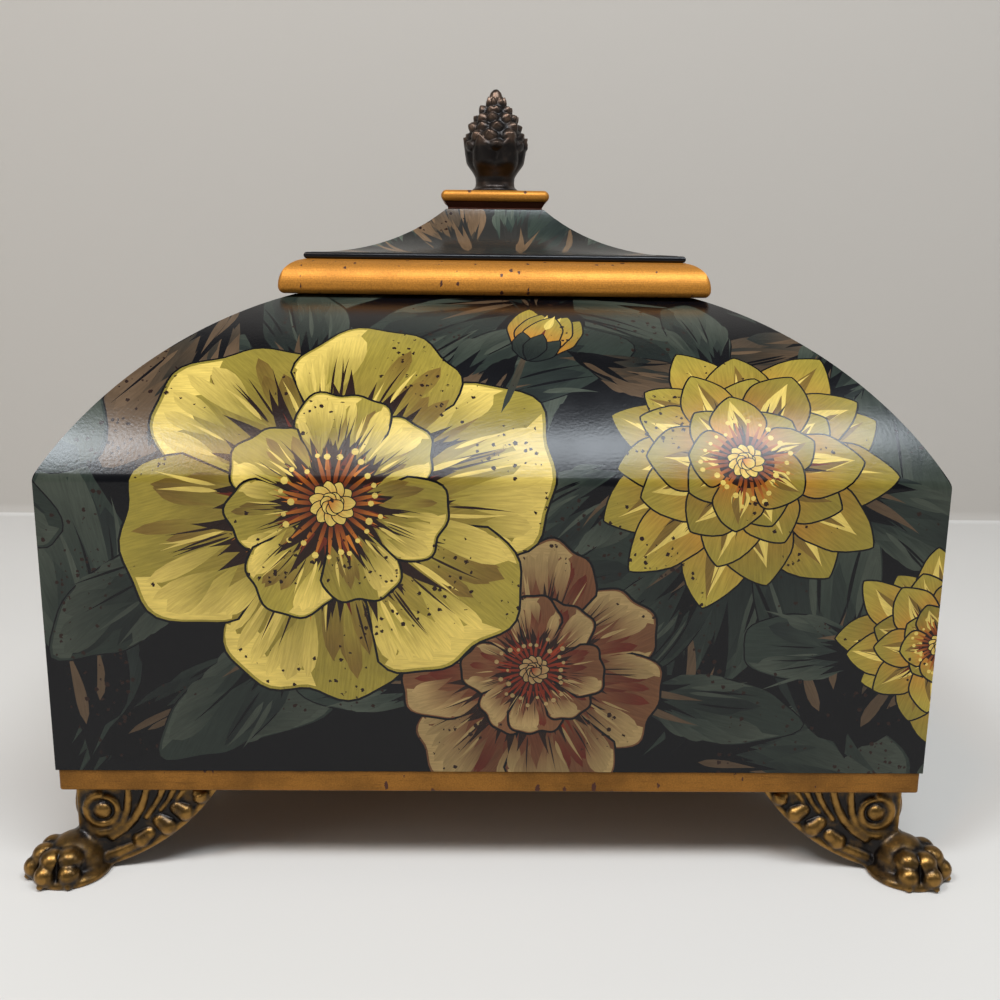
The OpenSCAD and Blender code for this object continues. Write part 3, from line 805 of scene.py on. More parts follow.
    def leaf(self, start, angle, reach, tone="leaf"):
        """A broad pointed leaf, painted like a petal but in the leaves' colours."""
        kept, place = self.palette, self.origin
        edge = kept["leaf_light"] if tone != "taupe" else tuple(1.3 * c for c in kept["taupe"])
        self.palette = {
            **kept, "petal": kept[tone], "petal_light": edge, "petal_deep": kept["leaf_dark"],
            "umber": kept["ground"], "rust": kept["ground"], "orange": kept["taupe"],
        }
        self.origin = place + np.asarray(start, float)
        spread, light = self.rng.uniform(0.75, 1.0), self.rng.uniform(0.85, 1.2)
        bend = self.rng.uniform(-0.4, 0.4)
        self.fan_petal(angle, reach, spread, light, notch=0.5, power=1.5, bend=bend, line=0.5, foot=0.18)
        self.palette, self.origin = kept, place


def paired_edges(triangles, count):
    """Keys of all triangle sides in order, the sides' own numbers, and where two neighbours share one."""
    a, b = triangles.ravel(), np.roll(triangles, -1, 1).ravel()
    key = np.minimum(a, b) * count + np.maximum(a, b)
    order = np.argsort(key, kind="stable")
    key = key[order]
    return key, order, np.flatnonzero(key[1:] == key[:-1])


def visible_edges(triangles, owner, count):
    """The sides where the topmost stroke changes, and the border."""
    key, order, first = paired_edges(triangles, count)
    who = owner[order // 3]
    alone = np.ones(len(key), bool)
    alone[first] = alone[first + 1] = False
    kept = np.concatenate([first[who[first] != who[first + 1]], np.flatnonzero(alone)])
    return np.stack([key[kept] // count, key[kept] % count], 1)


def thinned(flat, edges, near=0.03, rounds=6):
    """Leaves out the points that lie on the straight line between their two neighbours."""
    rng = np.random.default_rng(1)
    for _ in range(rounds):
        ends = edges.ravel()
        order = np.argsort(ends, kind="stable")
        count = np.bincount(ends, minlength=len(flat))
        start = np.cumsum(count) - count
        two = np.flatnonzero(count == 2)
        one, other = order[start[two]] // 2, order[start[two] + 1] // 2
        p, q = edges[one].sum(1) - two, edges[other].sum(1) - two
        axis, off = flat[q] - flat[p], flat[two] - flat[p]
        size = np.linalg.norm(axis, axis=1)
        gap = np.abs(axis[:, 0] * off[:, 1] - axis[:, 1] * off[:, 0]) / np.maximum(size, 1e-9)
        straight = (gap < near) & (size > 1e-6)
        rank = np.full(len(flat), -1.0)
        rank[two[straight]] = rng.random(straight.sum())
        gone = straight & (rank[two] > rank[p]) & (rank[two] > rank[q])
        edges[one[gone]] = np.stack([p[gone], q[gone]], 1)
        kept = np.ones(len(edges), bool)
        kept[other[gone]] = False
        edges = edges[kept]
    return edges


def linked_regions(count, one, other):
    """Numbers the regions of the cells that the pairs one and other link."""
    label, before = np.arange(count), None
    while before is None or (label != before).any():
        before = label.copy()
        low = np.minimum(label[one], label[other])
        np.minimum.at(label, one, low)
        np.minimum.at(label, other, low)
        label = label[label]
    return label


def paint_triangles(outline, rows, strokes):
    """Cuts the panel along what is seen of each stroke: points, triangles and their topmost strokes."""
    points, edges, loops = [], [], []
    for loop in [outline] + [stroke["loop"] for stroke in strokes]:
        first = len(points)
        points.extend(Vector(p) for p in loop)
        loops.append(list(range(first, first + len(loop))))
    found, _, cells, _, _, owners = delaunay_2d_cdt(points, edges, loops, 1, 1e-5, True)
    kept = [(cell, max(ids)) for cell, ids in zip(cells, owners) if 0 in ids]
    flat = np.array([(p.x, p.y) for p in found])
    triangles, owner = np.array([k[0] for k in kept]), np.array([k[1] for k in kept])
    finder = BVHTree.FromPolygons([(x, y, 0) for x, y in flat], triangles.tolist())

    lines = thinned(flat, visible_edges(triangles, owner, len(flat)))
    used, lines = np.unique(lines, return_inverse=True)
    points, lines = [Vector(p) for p in flat[used]], lines.reshape(-1, 2).tolist()
    walls = len(lines)
    for row in rows:
        first = len(points)
        points.extend(Vector(p) for p in row)
        lines.extend((first + k, first + k + 1) for k in range(len(row) - 1))
    found, sides, cells, _, origins, _ = delaunay_2d_cdt(points, lines, [], 0, 1e-5, True)
    flat, cells, count = np.array([(p.x, p.y) for p in found]), np.array(cells), len(found)
    walled = [
        min(side) * count + max(side) for side, ids in zip(sides, origins) if any(k < walls for k in ids)
    ]
    key, order, first = paired_edges(cells, count)
    first = first[~np.isin(key[first], walled)]
    label = linked_regions(len(cells), order[first] // 3, order[first + 1] // 3)
    corner = flat[cells]
    side_a, side_b = corner[:, 1] - corner[:, 0], corner[:, 2] - corner[:, 0]
    area = np.abs(side_a[:, 0] * side_b[:, 1] - side_a[:, 1] * side_b[:, 0])
    biggest = np.lexsort((area, label))
    biggest = biggest[np.append(label[biggest][1:] != label[biggest][:-1], True)]
    owner_of = np.full(len(cells), -1)
    for cell in biggest:
        x, y = corner[cell].mean(0)
        hit = finder.ray_cast((x, y, 1), (0, 0, -1))[2]
        owner_of[label[cell]] = -1 if hit is None else owner[hit]
    owner = owner_of[label]
    return flat, cells[owner >= 0], owner[owner >= 0] - 1


def border_loop(triangles):
    """The border of a set of triangles, in order."""
    sides = dict.fromkeys(edge for a, b, c in triangles.tolist() for edge in ((a, b), (b, c), (c, a)))
    after = {a: b for a, b in sides if (b, a) not in sides}
    first = next(iter(after))
    loop = [first]
    while after[loop[-1]] != first:
        loop.append(after[loop[-1]])
    return loop


def lay_colours(mesh, points, owner, strokes, ground):
    """Stores each corner's colour, with its brushing as alpha, and its place along its stroke as UV."""
    corners = np.zeros((len(mesh.loops), 4), np.float32)
    corners[:, :3] = ground
    brush = np.zeros((len(mesh.loops), 2), np.float32)
    brush[:len(points)] = points
    stroke_of = np.repeat(owner, 3)
    for k, stroke in enumerate(strokes):
        here = np.flatnonzero(stroke_of == k)
        if not len(here):
            continue
        away = points[here] - stroke["start"]
        along = away @ stroke["axis"]
        across = away @ np.array([-stroke["axis"][1], stroke["axis"][0]])
        t = np.clip(along / stroke["reach"], 0, 1)[:, None]
        t = t * t * (3 - 2 * t)
        corners[here, :3] = stroke["base"] * (1 - t) + stroke["tip"] * t
        corners[here, 3] = stroke["brushed"]
        brush[here] = np.stack([across, along], 1) + stroke["drift"]
    layer = mesh.color_attributes.new("paint", "FLOAT_COLOR", "CORNER")
    layer.data.foreach_set("color", corners.ravel())
    mesh.uv_layers.new(name="brush").data.foreach_set("uv", brush.ravel())


def lay_normals(mesh, top_normal, top):
    """Gives the painted side's corners, the first ones, the surface's normals; the others stay flat."""
    vertex_of = np.zeros(len(mesh.loops), np.int32)
    mesh.loops.foreach_get("vertex_index", vertex_of)
    flat_normals = np.zeros((len(mesh.polygons), 3), np.float32)
    mesh.polygons.foreach_get("normal", flat_normals.reshape(-1))
    totals = np.zeros(len(mesh.polygons), np.int32)
    mesh.polygons.foreach_get("loop_total", totals)
    normals = np.repeat(flat_normals, totals, axis=0)
    normals[:top] = top_normal[vertex_of[:top]]
    mesh.normals_split_custom_set(normals.tolist())


def painted_coat(name, rows, strokes, place, ground, thickness, material):
    """A thin closed coat over a surface; place(points, lift) gives the places and normals on it in mm."""
    outline = [rows[0][0]] + [row[-1] for row in rows] + [row[0] for row in rows[:0:-1]]
    flat, triangles, owner = paint_triangles(outline, rows, strokes)
    used = np.unique(triangles)
    renumber = np.zeros(len(flat), int)
    renumber[used] = np.arange(len(used))
    flat, triangles = flat[used], renumber[triangles]
    loop = border_loop(triangles)
    inner_points = [Vector(flat[k]) for k in loop]
    inner_loop = list(range(len(loop)))
    for row in rows[1:-1]:
        inner_points.extend(Vector(p) for p in row[1:-1])
    under, _, under_tris, _, _, owners = delaunay_2d_cdt(inner_points, [], [inner_loop], 1, 1e-6, True)
    under = np.array([(p.x, p.y) for p in under])
    top_place, top_normal = place(flat, thickness)
    low_place, _ = place(under, 0.0)
    shift = len(flat)
    faces = triangles.tolist()
    faces += [(a + shift, c + shift, b + shift) for (a, b, c), ids in zip(under_tris, owners) if ids]
    for k, here in enumerate(loop):
        after = (k + 1) % len(loop)
        faces.append((loop[after], here, k + shift, after + shift))
    piece = make_object(name, np.concatenate([top_place, low_place]), faces, material)
    points = flat[triangles].reshape(-1, 2)
    lay_colours(piece.data, points, owner, strokes, ground)
    lay_normals(piece.data, top_normal, len(points))
    return piece


# Where the leaves and flowers are, in mm and radians: (a flower's kind,) place round the body, height up the
# outside, size, turn and seed
LEAVES = (
    (-134, 170, 84, 0.2, 11), (-96, 196, 80, -1.2, 12), (-30, 194, 84, -0.4, 13), (30, 200, 84, -2.2, 14),
    (96, 186, 80, -0.5, 15), (140, 176, 70, -1.9, 16), (10, 6, 84, 1.9, 17), (-140, 4, 80, 1.1, 18),
    (60, 4, 80, 0.8, 19), (124, 6, 80, 1.6, 20), (214, 190, 84, -1.0, 21), (290, 196, 86, -2.2, 22),
    (340, 188, 80, -0.9, 23), (200, 6, 80, 0.7, 24), (310, 4, 84, 1.9, 25), (372, 6, 78, 0.9, 26),
    (440, 190, 86, -0.6, 27), (520, 196, 84, -1.8, 28), (590, 194, 84, -0.9, 29), (670, 186, 84, -2.4, 30),
    (440, 6, 80, 0.8, 31), (540, 4, 84, 1.9, 32), (650, 6, 84, 1.1, 33), (700, 10, 78, 2.2, 34),
    (770, 190, 84, -0.8, 35), (850, 194, 84, -2.0, 36), (910, 188, 80, -1.0, 37), (760, 6, 80, 0.9, 38),
    (860, 4, 84, 1.7, 39), (930, 6, 78, 2.2, 40),
)
BLOOMS = (
    ("dark", 14, 38, 50, 0.5, 76), ("open", -54, 96, 74, 0.3, 61), ("rayed", 84, 112, 50, 0.2, 62),
    ("bud", 16, 166, 26, 1.2, 64), ("rayed", 154, 48, 34, 0.5, 65),
    ("dark", 326, 44, 48, 0.1, 77), ("open", 262, 98, 70, 0.9, 66), ("rayed", 362, 126, 38, 0.1, 67),
    ("bud", 206, 40, 28, -2.2, 68),
    ("dark", 536, 44, 50, 0.8, 78), ("rayed", 474, 92, 56, 0.4, 69), ("open", 610, 100, 72, 1.4, 70),
    ("bud", 690, 44, 30, 0.4, 72), ("dark", 870, 42, 46, 0.3, 79), ("open", 806, 92, 66, 0.1, 73),
    ("rayed", 896, 116, 42, 0.7, 74),
)
DARK_BLOOM = {
    "petal": linear(98, 64, 40), "petal_light": linear(142, 118, 76), "petal_deep": linear(84, 30, 18),
    "orange": linear(120, 44, 22), "rust": linear(96, 30, 16),
}


def draw_motif(painter, kind, size, turn):
    """Paints one flower of that kind."""
    if kind == "dark":
        kept = painter.palette
        painter.palette = {**kept, **DARK_BLOOM}
        painter.open_bloom(size, 7, turn)
        painter.palette = kept
    elif kind == "open":
        painter.open_bloom(size, 6, turn)
    elif kind == "rayed":
        painter.rayed_bloom(size, 3, turn)
    else:
        painter.bud(turn, size)


def leaves_behind(painter, radius, turn):
    """Leaves that come out from behind a flower."""
    count = 5 if radius > 40 else 3
    for k in range(count):
        angle = turn + 0.5 + 2 * math.pi * k / count + painter.rng.uniform(-0.25, 0.25)
        start = (0.45 * radius * math.cos(angle), 0.45 * radius * math.sin(angle))
        reach = (0.62 * radius + 40) * painter.rng.uniform(0.85, 1.1)
        tone = "taupe" if painter.rng.random() < 0.22 else "leaf"
        painter.leaf(start, angle + painter.rng.uniform(-0.3, 0.3), reach, tone)


def palette():
    """The paint's colours by name."""
    settings = bpy.context.scene.casket_paint
    return {name: tuple(getattr(settings, name)) for name in CasketPaintSettings.__annotations__}


def wrapped_offsets(place, centre, around, reach):
    """Where a motif lies in a panel's own flat, also when the count round the body starts again."""
    for turn in (-1, 0, 1):
        x = place - centre + turn * around
        if abs(x) < reach:
            yield x


def cross_rows(half_width, heights, spacing):
    """Rows of points across a face at those heights, so that the coat bends with the surface."""
    rows = []
    for v in heights:
        half = half_width(v)
        rows.append([(u, v) for u in np.linspace(-half, half, max(2, int(half / spacing)))])
    return rows


def turned_side(points, normals, side, reach):
    """Turns (along, in, up) of the front to one of the four sides."""
    out, turned = np.empty_like(points), np.empty_like(normals)
    local = points.copy()
    local[:, 1] -= reach
    c, s = ((1, 0), (0, 1), (-1, 0), (0, -1))[side]
    for source, target in ((local, out), (normals, turned)):
        target[:, 0] = c * source[:, 0] - s * source[:, 1]
        target[:, 1] = s * source[:, 0] + c * source[:, 1]
        target[:, 2] = source[:, 2]
    return out, turned


class CASKET_OT_painted_panels(Operator):
    """Coats the walls and the curved roof with painted lacquer"""

    bl_idname = "casket.painted_panels"
    bl_label = "Painted panels"

    def execute(self, context):
        settings = context.scene.casket_body
        colours = palette()
        profile = BodyProfile(settings)
        lacquer = painted_lacquer()
        low, high = node_box("front_wall")[0], node_box("right_wall")[1]
        width, depth = 2 * high[0], -2 * low[1]
        sizes = (width, depth, width, depth)
        around = 2 * (width + depth)
        heights = profile.heights(profile.where_run(profile.run - 1))
        centre = 0.0
        for side, name in enumerate(SIDES):
            size, reach = sizes[side], sizes[(side + 1) % 4] / 2
            painter = Painter(colours)
            for place, v, long, turn, seed in LEAVES:
                for x in wrapped_offsets(place, centre, around, size / 2 + 1.3 * long):
                    painter.begin(x, v, seed + settings.seed)
                    painter.leaf((0, 0), turn - 0.55, long * 1.15, "taupe" if seed % 4 == 0 else "leaf")
                    painter.leaf((0, 0), turn + 0.3, long * 1.35)
            for kind, place, v, radius, turn, seed in BLOOMS:
                for x in wrapped_offsets(place, centre, around, size / 2 + 2 * radius):
                    painter.begin(x, v, seed + settings.seed)
                    leaves_behind(painter, radius, turn)
            for kind, place, v, radius, turn, seed in BLOOMS:
                for x in wrapped_offsets(place, centre, around, size / 2 + radius):
                    painter.begin(x, v, seed + settings.seed)
                    draw_motif(painter, kind, radius, turn)

            def half_width(v, size=size):
                return size / 2 - float(profile.at(v)[0])

            def on_face(flat, lift, size=size, side=side, reach=reach):
                s, z, angle = profile.at(flat[:, 1])
                s_out = s - lift * np.cos(angle)
                along = flat[:, 0] * (size / 2 - s_out) / (size / 2 - s)
                points = np.stack([along, s_out, z + lift * np.sin(angle)], 1)
                normals = np.stack([0 * s, -np.cos(angle), np.sin(angle)], 1)
                return turned_side(points, normals, side, reach)

            coat = painted_coat(
                f"{name}_painted_coat", cross_rows(half_width, heights, 3.5), painter.strokes, on_face,
                colours["ground"], settings.coat, lacquer,
            )
            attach(coat, "casket")
            centre += (size + sizes[(side + 1) % 4]) / 2
        parts = ("wall", "haunch", "mouth_rail")
        finish_node(black_lacquer(), *(f"{side}_{part}" for side in SIDES for part in parts))
        return {"FINISHED"}


class CanopyProfile:
    """One face of the hollow roof of the lid; v runs up the face from the eaves."""

    def __init__(self, foot, top, rise, other_foot, other_top, base):
        self.foot, self.base, self.other_foot = foot, base, other_foot
        run, other = foot - top, other_foot - other_top
        self.r = (run ** 2 + rise ** 2) / (2 * rise)
        self.other_r = (other ** 2 + rise ** 2) / (2 * rise)
        self.length = self.r * math.asin(run / self.r)

    def at(self, v, lift=0.0):
        """Run in, height, slope and half width at v."""
        turn = np.asarray(v, float) / self.r
        r = self.r - lift
        s, z = r * np.sin(turn), self.r - r * np.cos(turn)
        other = self.other_r - lift
        beside = np.sqrt(np.clip(other ** 2 - (self.other_r - z) ** 2, 0, None))
        return s, z + self.base, turn, self.other_foot - beside


class CASKET_OT_painted_canopy(Operator):
    """Coats the hollow roof of the lid with painted lacquer, lightened as a painted sheen"""

    bl_idname = "casket.painted_canopy"
    bl_label = "Painted canopy"

    def execute(self, context):
        settings = context.scene.casket_body
        # Painted sheen: the canopy's paint colours are made 1.7 times lighter and its black ground a mid
        # grey, standing in for the pale room that the hollow roof reflects
        colours = {name: tuple(1.7 * c for c in tone) for name, tone in palette().items()}
        colours["ground"] = linear(42, 41, 38)
        low, high = node_box("lid_canopy")
        cap_low = node_box("lid_cap")[0]
        inset, leaf_reach = 2.2, 78
        foot = (high[0], high[1])
        top = (-cap_low[0] - inset, -cap_low[1] - inset)
        for side, name in enumerate(SIDES):
            a, b = (1, 0) if side % 2 == 0 else (0, 1)
            profile = CanopyProfile(foot[a], top[a], high[2] - low[2], foot[b], top[b], low[2])
            painter = Painter(colours)
            for k in (0, 5, 1, 4, 2, 3):
                across = (k - 2.5) / 2.5
                painter.begin(across * foot[b] * 0.55, -4, 90 + 9 * side + k + settings.seed)
                tone = ("leaf", "leaf_light", "taupe")[k % 3]
                painter.leaf((0, 0), math.pi / 2 - across * 1.0 + 0.1, leaf_reach, tone)

            def half_width(v, profile=profile):
                return float(profile.at(v)[3])

            def on_face(flat, lift, profile=profile, side=side):
                _, _, _, half = profile.at(flat[:, 1])
                s, z, turn, lifted = profile.at(flat[:, 1], lift)
                points = np.stack([flat[:, 0] * lifted / half, s, z], 1)
                normals = np.stack([0 * s, -np.sin(turn), np.cos(turn)], 1)
                return turned_side(points, normals, side, profile.foot)

            heights = np.linspace(0.05, profile.length, 22)
            coat = painted_coat(
                f"{name}_canopy_coat", cross_rows(half_width, heights, 3), painter.strokes, on_face,
                colours["ground"], settings.coat, bpy.data.materials["painted lacquer"],
            )
            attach(coat, "lid")
        lips = [f"{side}_lid_lip" for side in SIDES]
        finish_node(bpy.data.materials["black lacquer"], "lid_canopy", "lid_bead", "lid_board", *lips)
        return {"FINISHED"}


# Geometry node trees


class Field:
    """A value in a node tree that can be added, multiplied and so on."""

    def __init__(self, tree, socket):
        self.tree, self.socket = tree, socket

    def math(self, operation, other=0.0):
        return Field(self.tree, maths(self.tree, operation, self, other))

    def __add__(self, other):
        return self.math("ADD", other)

    def __sub__(self, other):
        return self.math("SUBTRACT", other)

    def __mul__(self, other):
        return self.math("MULTIPLY", other)

    def __truediv__(self, other):
        return self.math("DIVIDE", other)

    def __mod__(self, other):
        return self.math("MODULO", other)

    def sin(self):
        return self.math("SINE")

    def cos(self):
        return self.math("COSINE")

    def floor(self):
        return self.math("FLOOR")

    def sign(self):
        return self.math("SIGN")

    def most(self, other):
        return self.math("MAXIMUM", other)

    def power(self, other):
        return self.math("POWER", other)


def geometry_tree(name, inputs):
    """A geometry node tree with named inputs: (name, socket type, default)."""
    tree = bpy.data.node_groups.new(name, "GeometryNodeTree")
    tree.interface.new_socket("Geometry", in_out="INPUT", socket_type="NodeSocketGeometry")
    for label, kind, default in inputs:
        socket = tree.interface.new_socket(label, in_out="INPUT", socket_type=kind)
        if default is not None:
            socket.default_value = default
    tree.interface.new_socket("Geometry", in_out="OUTPUT", socket_type="NodeSocketGeometry")
    return tree, tree.nodes.new("NodeGroupInput"), tree.nodes.new("NodeGroupOutput")


def finish_tree(tree, start, end, geometry):
    """Ends a tree in Realize Instances and Set Material."""
    real = add(tree, "GeometryNodeRealizeInstances", i_0=geometry)
    finish = start.outputs["Material"]
    coloured = add(tree, "GeometryNodeSetMaterial", Geometry=real.outputs[0], Material=finish)
    tree.links.new(coloured.outputs[0], end.inputs[0])


def number_field(tree):
    """The number of each point."""
    return Field(tree, tree.nodes.new("GeometryNodeInputIndex").outputs[0])


def vector_of(tree, x, y, z):
    """A vector from three values."""
    return add(tree, "ShaderNodeCombineXYZ", i_0=x, i_1=y, i_2=z).outputs[0]


def run_tree(name, tree, values):
    """Runs a geometry tree and returns its result as a plain mesh object."""
    holder = in_scene(name + "_holder", bpy.data.meshes.new(name))
    modifier = holder.modifiers.new("Nodes", "NODES")
    modifier.node_group = tree
    for item in tree.interface.items_tree:
        if item.item_type == "SOCKET" and item.in_out == "INPUT" and item.name in values:
            modifier[item.identifier] = values[item.name]
    return settled(holder, name)


def moulding_tree():
    """A moulding run round a rectangle: the section's points are (in from the outer face, 0, height)."""
    name = "Moulding round a rectangle"
    if name in bpy.data.node_groups:
        return bpy.data.node_groups[name]
    tree, start, end = geometry_tree(name, [
        ("Section", "NodeSocketObject", None), ("Section points", "NodeSocketInt", 12),
        ("Width", FLOAT, 0.1), ("Depth", FLOAT, 0.1), ("Corner radius", FLOAT, 0.002),
        ("Corner steps", "NodeSocketInt", 7), ("Material", "NodeSocketMaterial", None),
    ])

    def given(label):
        return Field(tree, start.outputs[label])

    section = add(tree, "GeometryNodeObjectInfo", Object=start.outputs["Section"]).outputs["Geometry"]
    points, steps, radius = given("Section points"), given("Corner steps"), given("Corner radius")
    grid = add(tree, "GeometryNodeMeshGrid", Vertices_X=steps * 4.0 + 1.0, Vertices_Y=points + 1.0)
    index = number_field(tree)
    column = (index / (points + 1.0) + 1e-4).floor()
    row = (index - column * (points + 1.0) + 0.1).floor() % points
    place = tree.nodes.new("GeometryNodeInputPosition").outputs[0]
    sample = add(
        tree, "GeometryNodeSampleIndex", {"data_type": "FLOAT_VECTOR"},
        Geometry=section, Value=place, Index=row,
    )
    split = add(tree, "ShaderNodeSeparateXYZ", i_0=sample.outputs[0])
    inwards, up = Field(tree, split.outputs[0]), Field(tree, split.outputs[2])
    corner = (column / steps + 1e-4).floor()
    within = (column - corner * steps) / (steps - 1.0)
    middle = corner * (math.pi / 2) + (math.pi * 1.25)
    turn = middle + (within - 0.5) * (math.pi / 2)
    base, round_part = inwards.most(radius), (radius - inwards).most(0.0)
    x = middle.cos().sign() * (given("Width") / 2.0 - base) + round_part * turn.cos()
    y = middle.sin().sign() * (given("Depth") / 2.0 - base) + round_part * turn.sin()
    placed = add(
        tree, "GeometryNodeSetPosition", Geometry=grid.outputs[0], Position=vector_of(tree, x, y, up)
    )
    merged = add(tree, "GeometryNodeMergeByDistance", Geometry=placed.outputs[0], Distance=1e-7)
    finish_tree(tree, start, end, merged.outputs[0])
    return tree


def moulding(name, section, width, depth, corner_r, material):
    """Runs the section, given in mm, round a rectangle of that outer size."""
    count = len(section)
    mesh = bpy.data.meshes.new(name + "_section")
    lines = [(k, (k + 1) % count) for k in range(count)]
    mesh.from_pydata([(s * MM, 0, z * MM) for s, z in section], lines, [])
    drawing = in_scene(name + "_section", mesh)
    piece = run_tree(name, moulding_tree(), {
        "Section": drawing, "Section points": count, "Width": width * MM, "Depth": depth * MM,
        "Corner radius": corner_r * MM, "Corner steps": 7, "Material": material,
    })
    bpy.data.objects.remove(drawing)
    piece.data.materials.clear()
    piece.data.materials.append(material)
    tidy_normals(piece)
    return piece


def strip_sizes(node):
    """Outer width and depth of a mitred frame, and its front strip's width, foot and height."""
    low, high = node_box(node)
    return high[0] - low[0], -2 * low[1], high[1] - low[1], low[2], high[2] - low[2]


def plinth_section(width, low, height, edge_r):
    """A flat strip with its outer edges worn round; points are (in from the outer face, height)."""
    section = [(width, low), (edge_r, low)] + arc_points(edge_r, low + edge_r, edge_r, 270, 180, 5)[1:]
    section += arc_points(edge_r, low + height - edge_r, edge_r, 180, 90, 5)
    return section + [(width, low + height)]


def lid_moulding_section(width, low, height, toe=2.6, show=9.0):
    """A small round toe and a broad round over it, up to the flat that carries the bead."""
    crown = height - toe
    turn = 90 + math.degrees(math.asin((crown - show) / crown))
    section = [(width, low)] + arc_points(toe, low + toe, toe, 270, 180, 8)
    section += arc_points(crown, low + toe, crown, 180, turn, 20)[1:]
    return section + [(show, low + height), (width, low + height)]


def cap_section(inner, low, splay, top, edge_r):
    """A narrow neck that splays out to a round edge, with a fine groove at its foot."""
    neck, groove, deep = 2.9, 0.35, 0.2
    section = [(inner, low), (neck, low), (neck - deep, low + groove), (neck, low + 2 * groove), (1.6, splay)]
    return section + arc_points(edge_r, splay + edge_r, edge_r, 255, 90, 18) + [(inner, top)]


class CASKET_OT_gilding(Operator):
    """Makes the gilt plinth, the gilt moulding of the lid and the gilt cap"""

    bl_idname = "casket.gilding"
    bl_label = "Gilding"

    def execute(self, context):
        settings = context.scene.casket_gilt
        bright = gilding("bright gilding", tuple(settings.bright), 0.3)
        dull = gilding("dull gilding", tuple(settings.dull), 0.75)
        wide, deep, *strip = strip_sizes("front_plinth")
        plinth = moulding("gilt_plinth", plinth_section(*strip, settings.round_r), wide, deep, 1.0, dull)
        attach(plinth, "casket")
        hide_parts(*(f"{side}_plinth" for side in SIDES))

        wide, deep, *strip = strip_sizes("front_lid_moulding")
        ring = moulding("gilt_lid_moulding", lid_moulding_section(*strip), wide, deep, 2.2, bright)
        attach(ring, "lid")
        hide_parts(*(f"{side}_lid_moulding" for side in SIDES))

        low, high = node_box("lid_cap")
        edge_r, width = 2.4, 2.6
        splay = high[2] - 2 * edge_r
        section = cap_section(-low[1] - width, low[2], splay, high[2], edge_r)
        # The splay under the cap's round edge turns brown: a painted shade
        bare = gilding("cap gilding", tuple(settings.bright), 0.3, (splay + 0.3) * MM)
        cap = moulding("gilt_cap", section, 2 * high[0], 2 * high[1], 2.2, bare)
        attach(cap, "lid")
        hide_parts("lid_cap")
        return {"FINISHED"}


# Cast feet: a solid drawn as a distance field, then turned into a surface


def surface_of(field, origin, step):
    """Surface nets: the smooth surface where the field crosses zero, inside negative."""
    inside = field < 0
    cells = [n - 1 for n in field.shape]
    total = np.zeros(cells + [3])
    hits = np.zeros(cells)
    corners = [(i, j, k) for i in (0, 1) for j in (0, 1) for k in (0, 1)]
    for a in corners:
        for axis in range(3):
            if a[axis]:
                continue
            b = tuple(c + (1 if n == axis else 0) for n, c in enumerate(a))
            fa = field[tuple(slice(c, c + n) for c, n in zip(a, cells))]
            fb = field[tuple(slice(c, c + n) for c, n in zip(b, cells))]
            cross = (fa < 0) != (fb < 0)
            share = np.where(cross, fa / np.where(cross, fa - fb, 1), 0)
            hits += cross
            for n in range(3):
                total[..., n] += np.where(cross, a[n] + (share if n == axis else 0), 0)
    used = hits > 0
    number = np.full(cells, -1)
    number[used] = np.arange(used.sum())
    where = np.argwhere(used)
    vertices = origin + step * (where + total[used] / hits[used][:, None])
    faces = []
    for axis in range(3):
        u, v = [n for n in range(3) if n != axis]
        low = [slice(1, n - 1) for n in field.shape]
        low[axis] = slice(0, field.shape[axis] - 1)
        high = list(low)
        high[axis] = slice(1, field.shape[axis])
        below, above = inside[tuple(low)], inside[tuple(high)]
        for turned, mask in ((False, below & ~above), (True, ~below & above)):
            found = np.argwhere(mask)
            place = found.copy()
            place[:, u] += 1
            place[:, v] += 1
            quad = []
            for du, dv in ((-1, -1), (0, -1), (0, 0), (-1, 0)):
                cell = place.copy()
                cell[:, u] += du
                cell[:, v] += dv
                quad.append(number[tuple(cell.T)])
            quad = np.stack(quad, 1)
            if turned != (axis == 1):
                quad = quad[:, ::-1]
            faces.append(quad)
    return vertices, np.concatenate(faces)


def soft_union(a, b, k):
    """Two shapes run together with a fillet of about k."""
    share = np.clip(0.5 + 0.5 * (b - a) / k, 0, 1)
    return b + (a - b) * share - k * share * (1 - share)


def ball(p, centre, r, stretch=(1, 1, 1)):
    """Distance to a ball, stretched along the axes."""
    away = [(p[n] - centre[n]) / stretch[n] for n in range(3)]
    return (np.sqrt(sum(a * a for a in away)) - r) * min(stretch)


def rod(p, a, b, ra, rb=None):
    """Distance to a rod with round ends whose radius goes from ra to rb."""
    a, b = np.array(a, float), np.array(b, float)
    rb = ra if rb is None else rb
    axis = b - a
    along = sum((p[n] - a[n]) * axis[n] for n in range(3)) / axis.dot(axis)
    t = np.clip(along, 0, 1)
    gap = np.sqrt(sum((p[n] - a[n] - t * axis[n]) ** 2 for n in range(3)))
    return gap - (ra + (rb - ra) * t)


def path_rod(p, points, ra, rb):
    """A rod along several points, thinning from ra to rb."""
    radii = np.linspace(ra, rb, len(points))
    return reduce(np.minimum, (rod(p, *part) for part in zip(points, points[1:], radii, radii[1:])))


# The wing's relief, in mm: stems that run up it, each (points along and up, radius at the foot, at the tip)

FRONDS = (
    ([(12.2, 13.8), (16.5, 14.4), (20.4, 17.6), (22.4, 22.5), (23.0, 27), (23.2, 30.5)], 1.9, 1.15),
    ([(16.5, 12.6), (21.2, 15.6), (25.0, 19.6), (27.6, 24.0), (29.0, 28), (29.6, 30.5)], 1.8, 1.25),
    ([(29.0, 19.8), (32.2, 24.2), (34.4, 28), (35.2, 30.4)], 0.9, 1.3),
    ([(34.2, 22.6), (37.2, 26.4), (39.2, 30.3)], 0.8, 1.2),
    ([(40.2, 26.6), (42.6, 30.2)], 0.8, 1.0),
)

# Lobes along its lower edge: (share of the sweep, distance in from it, radius, half length, lean)

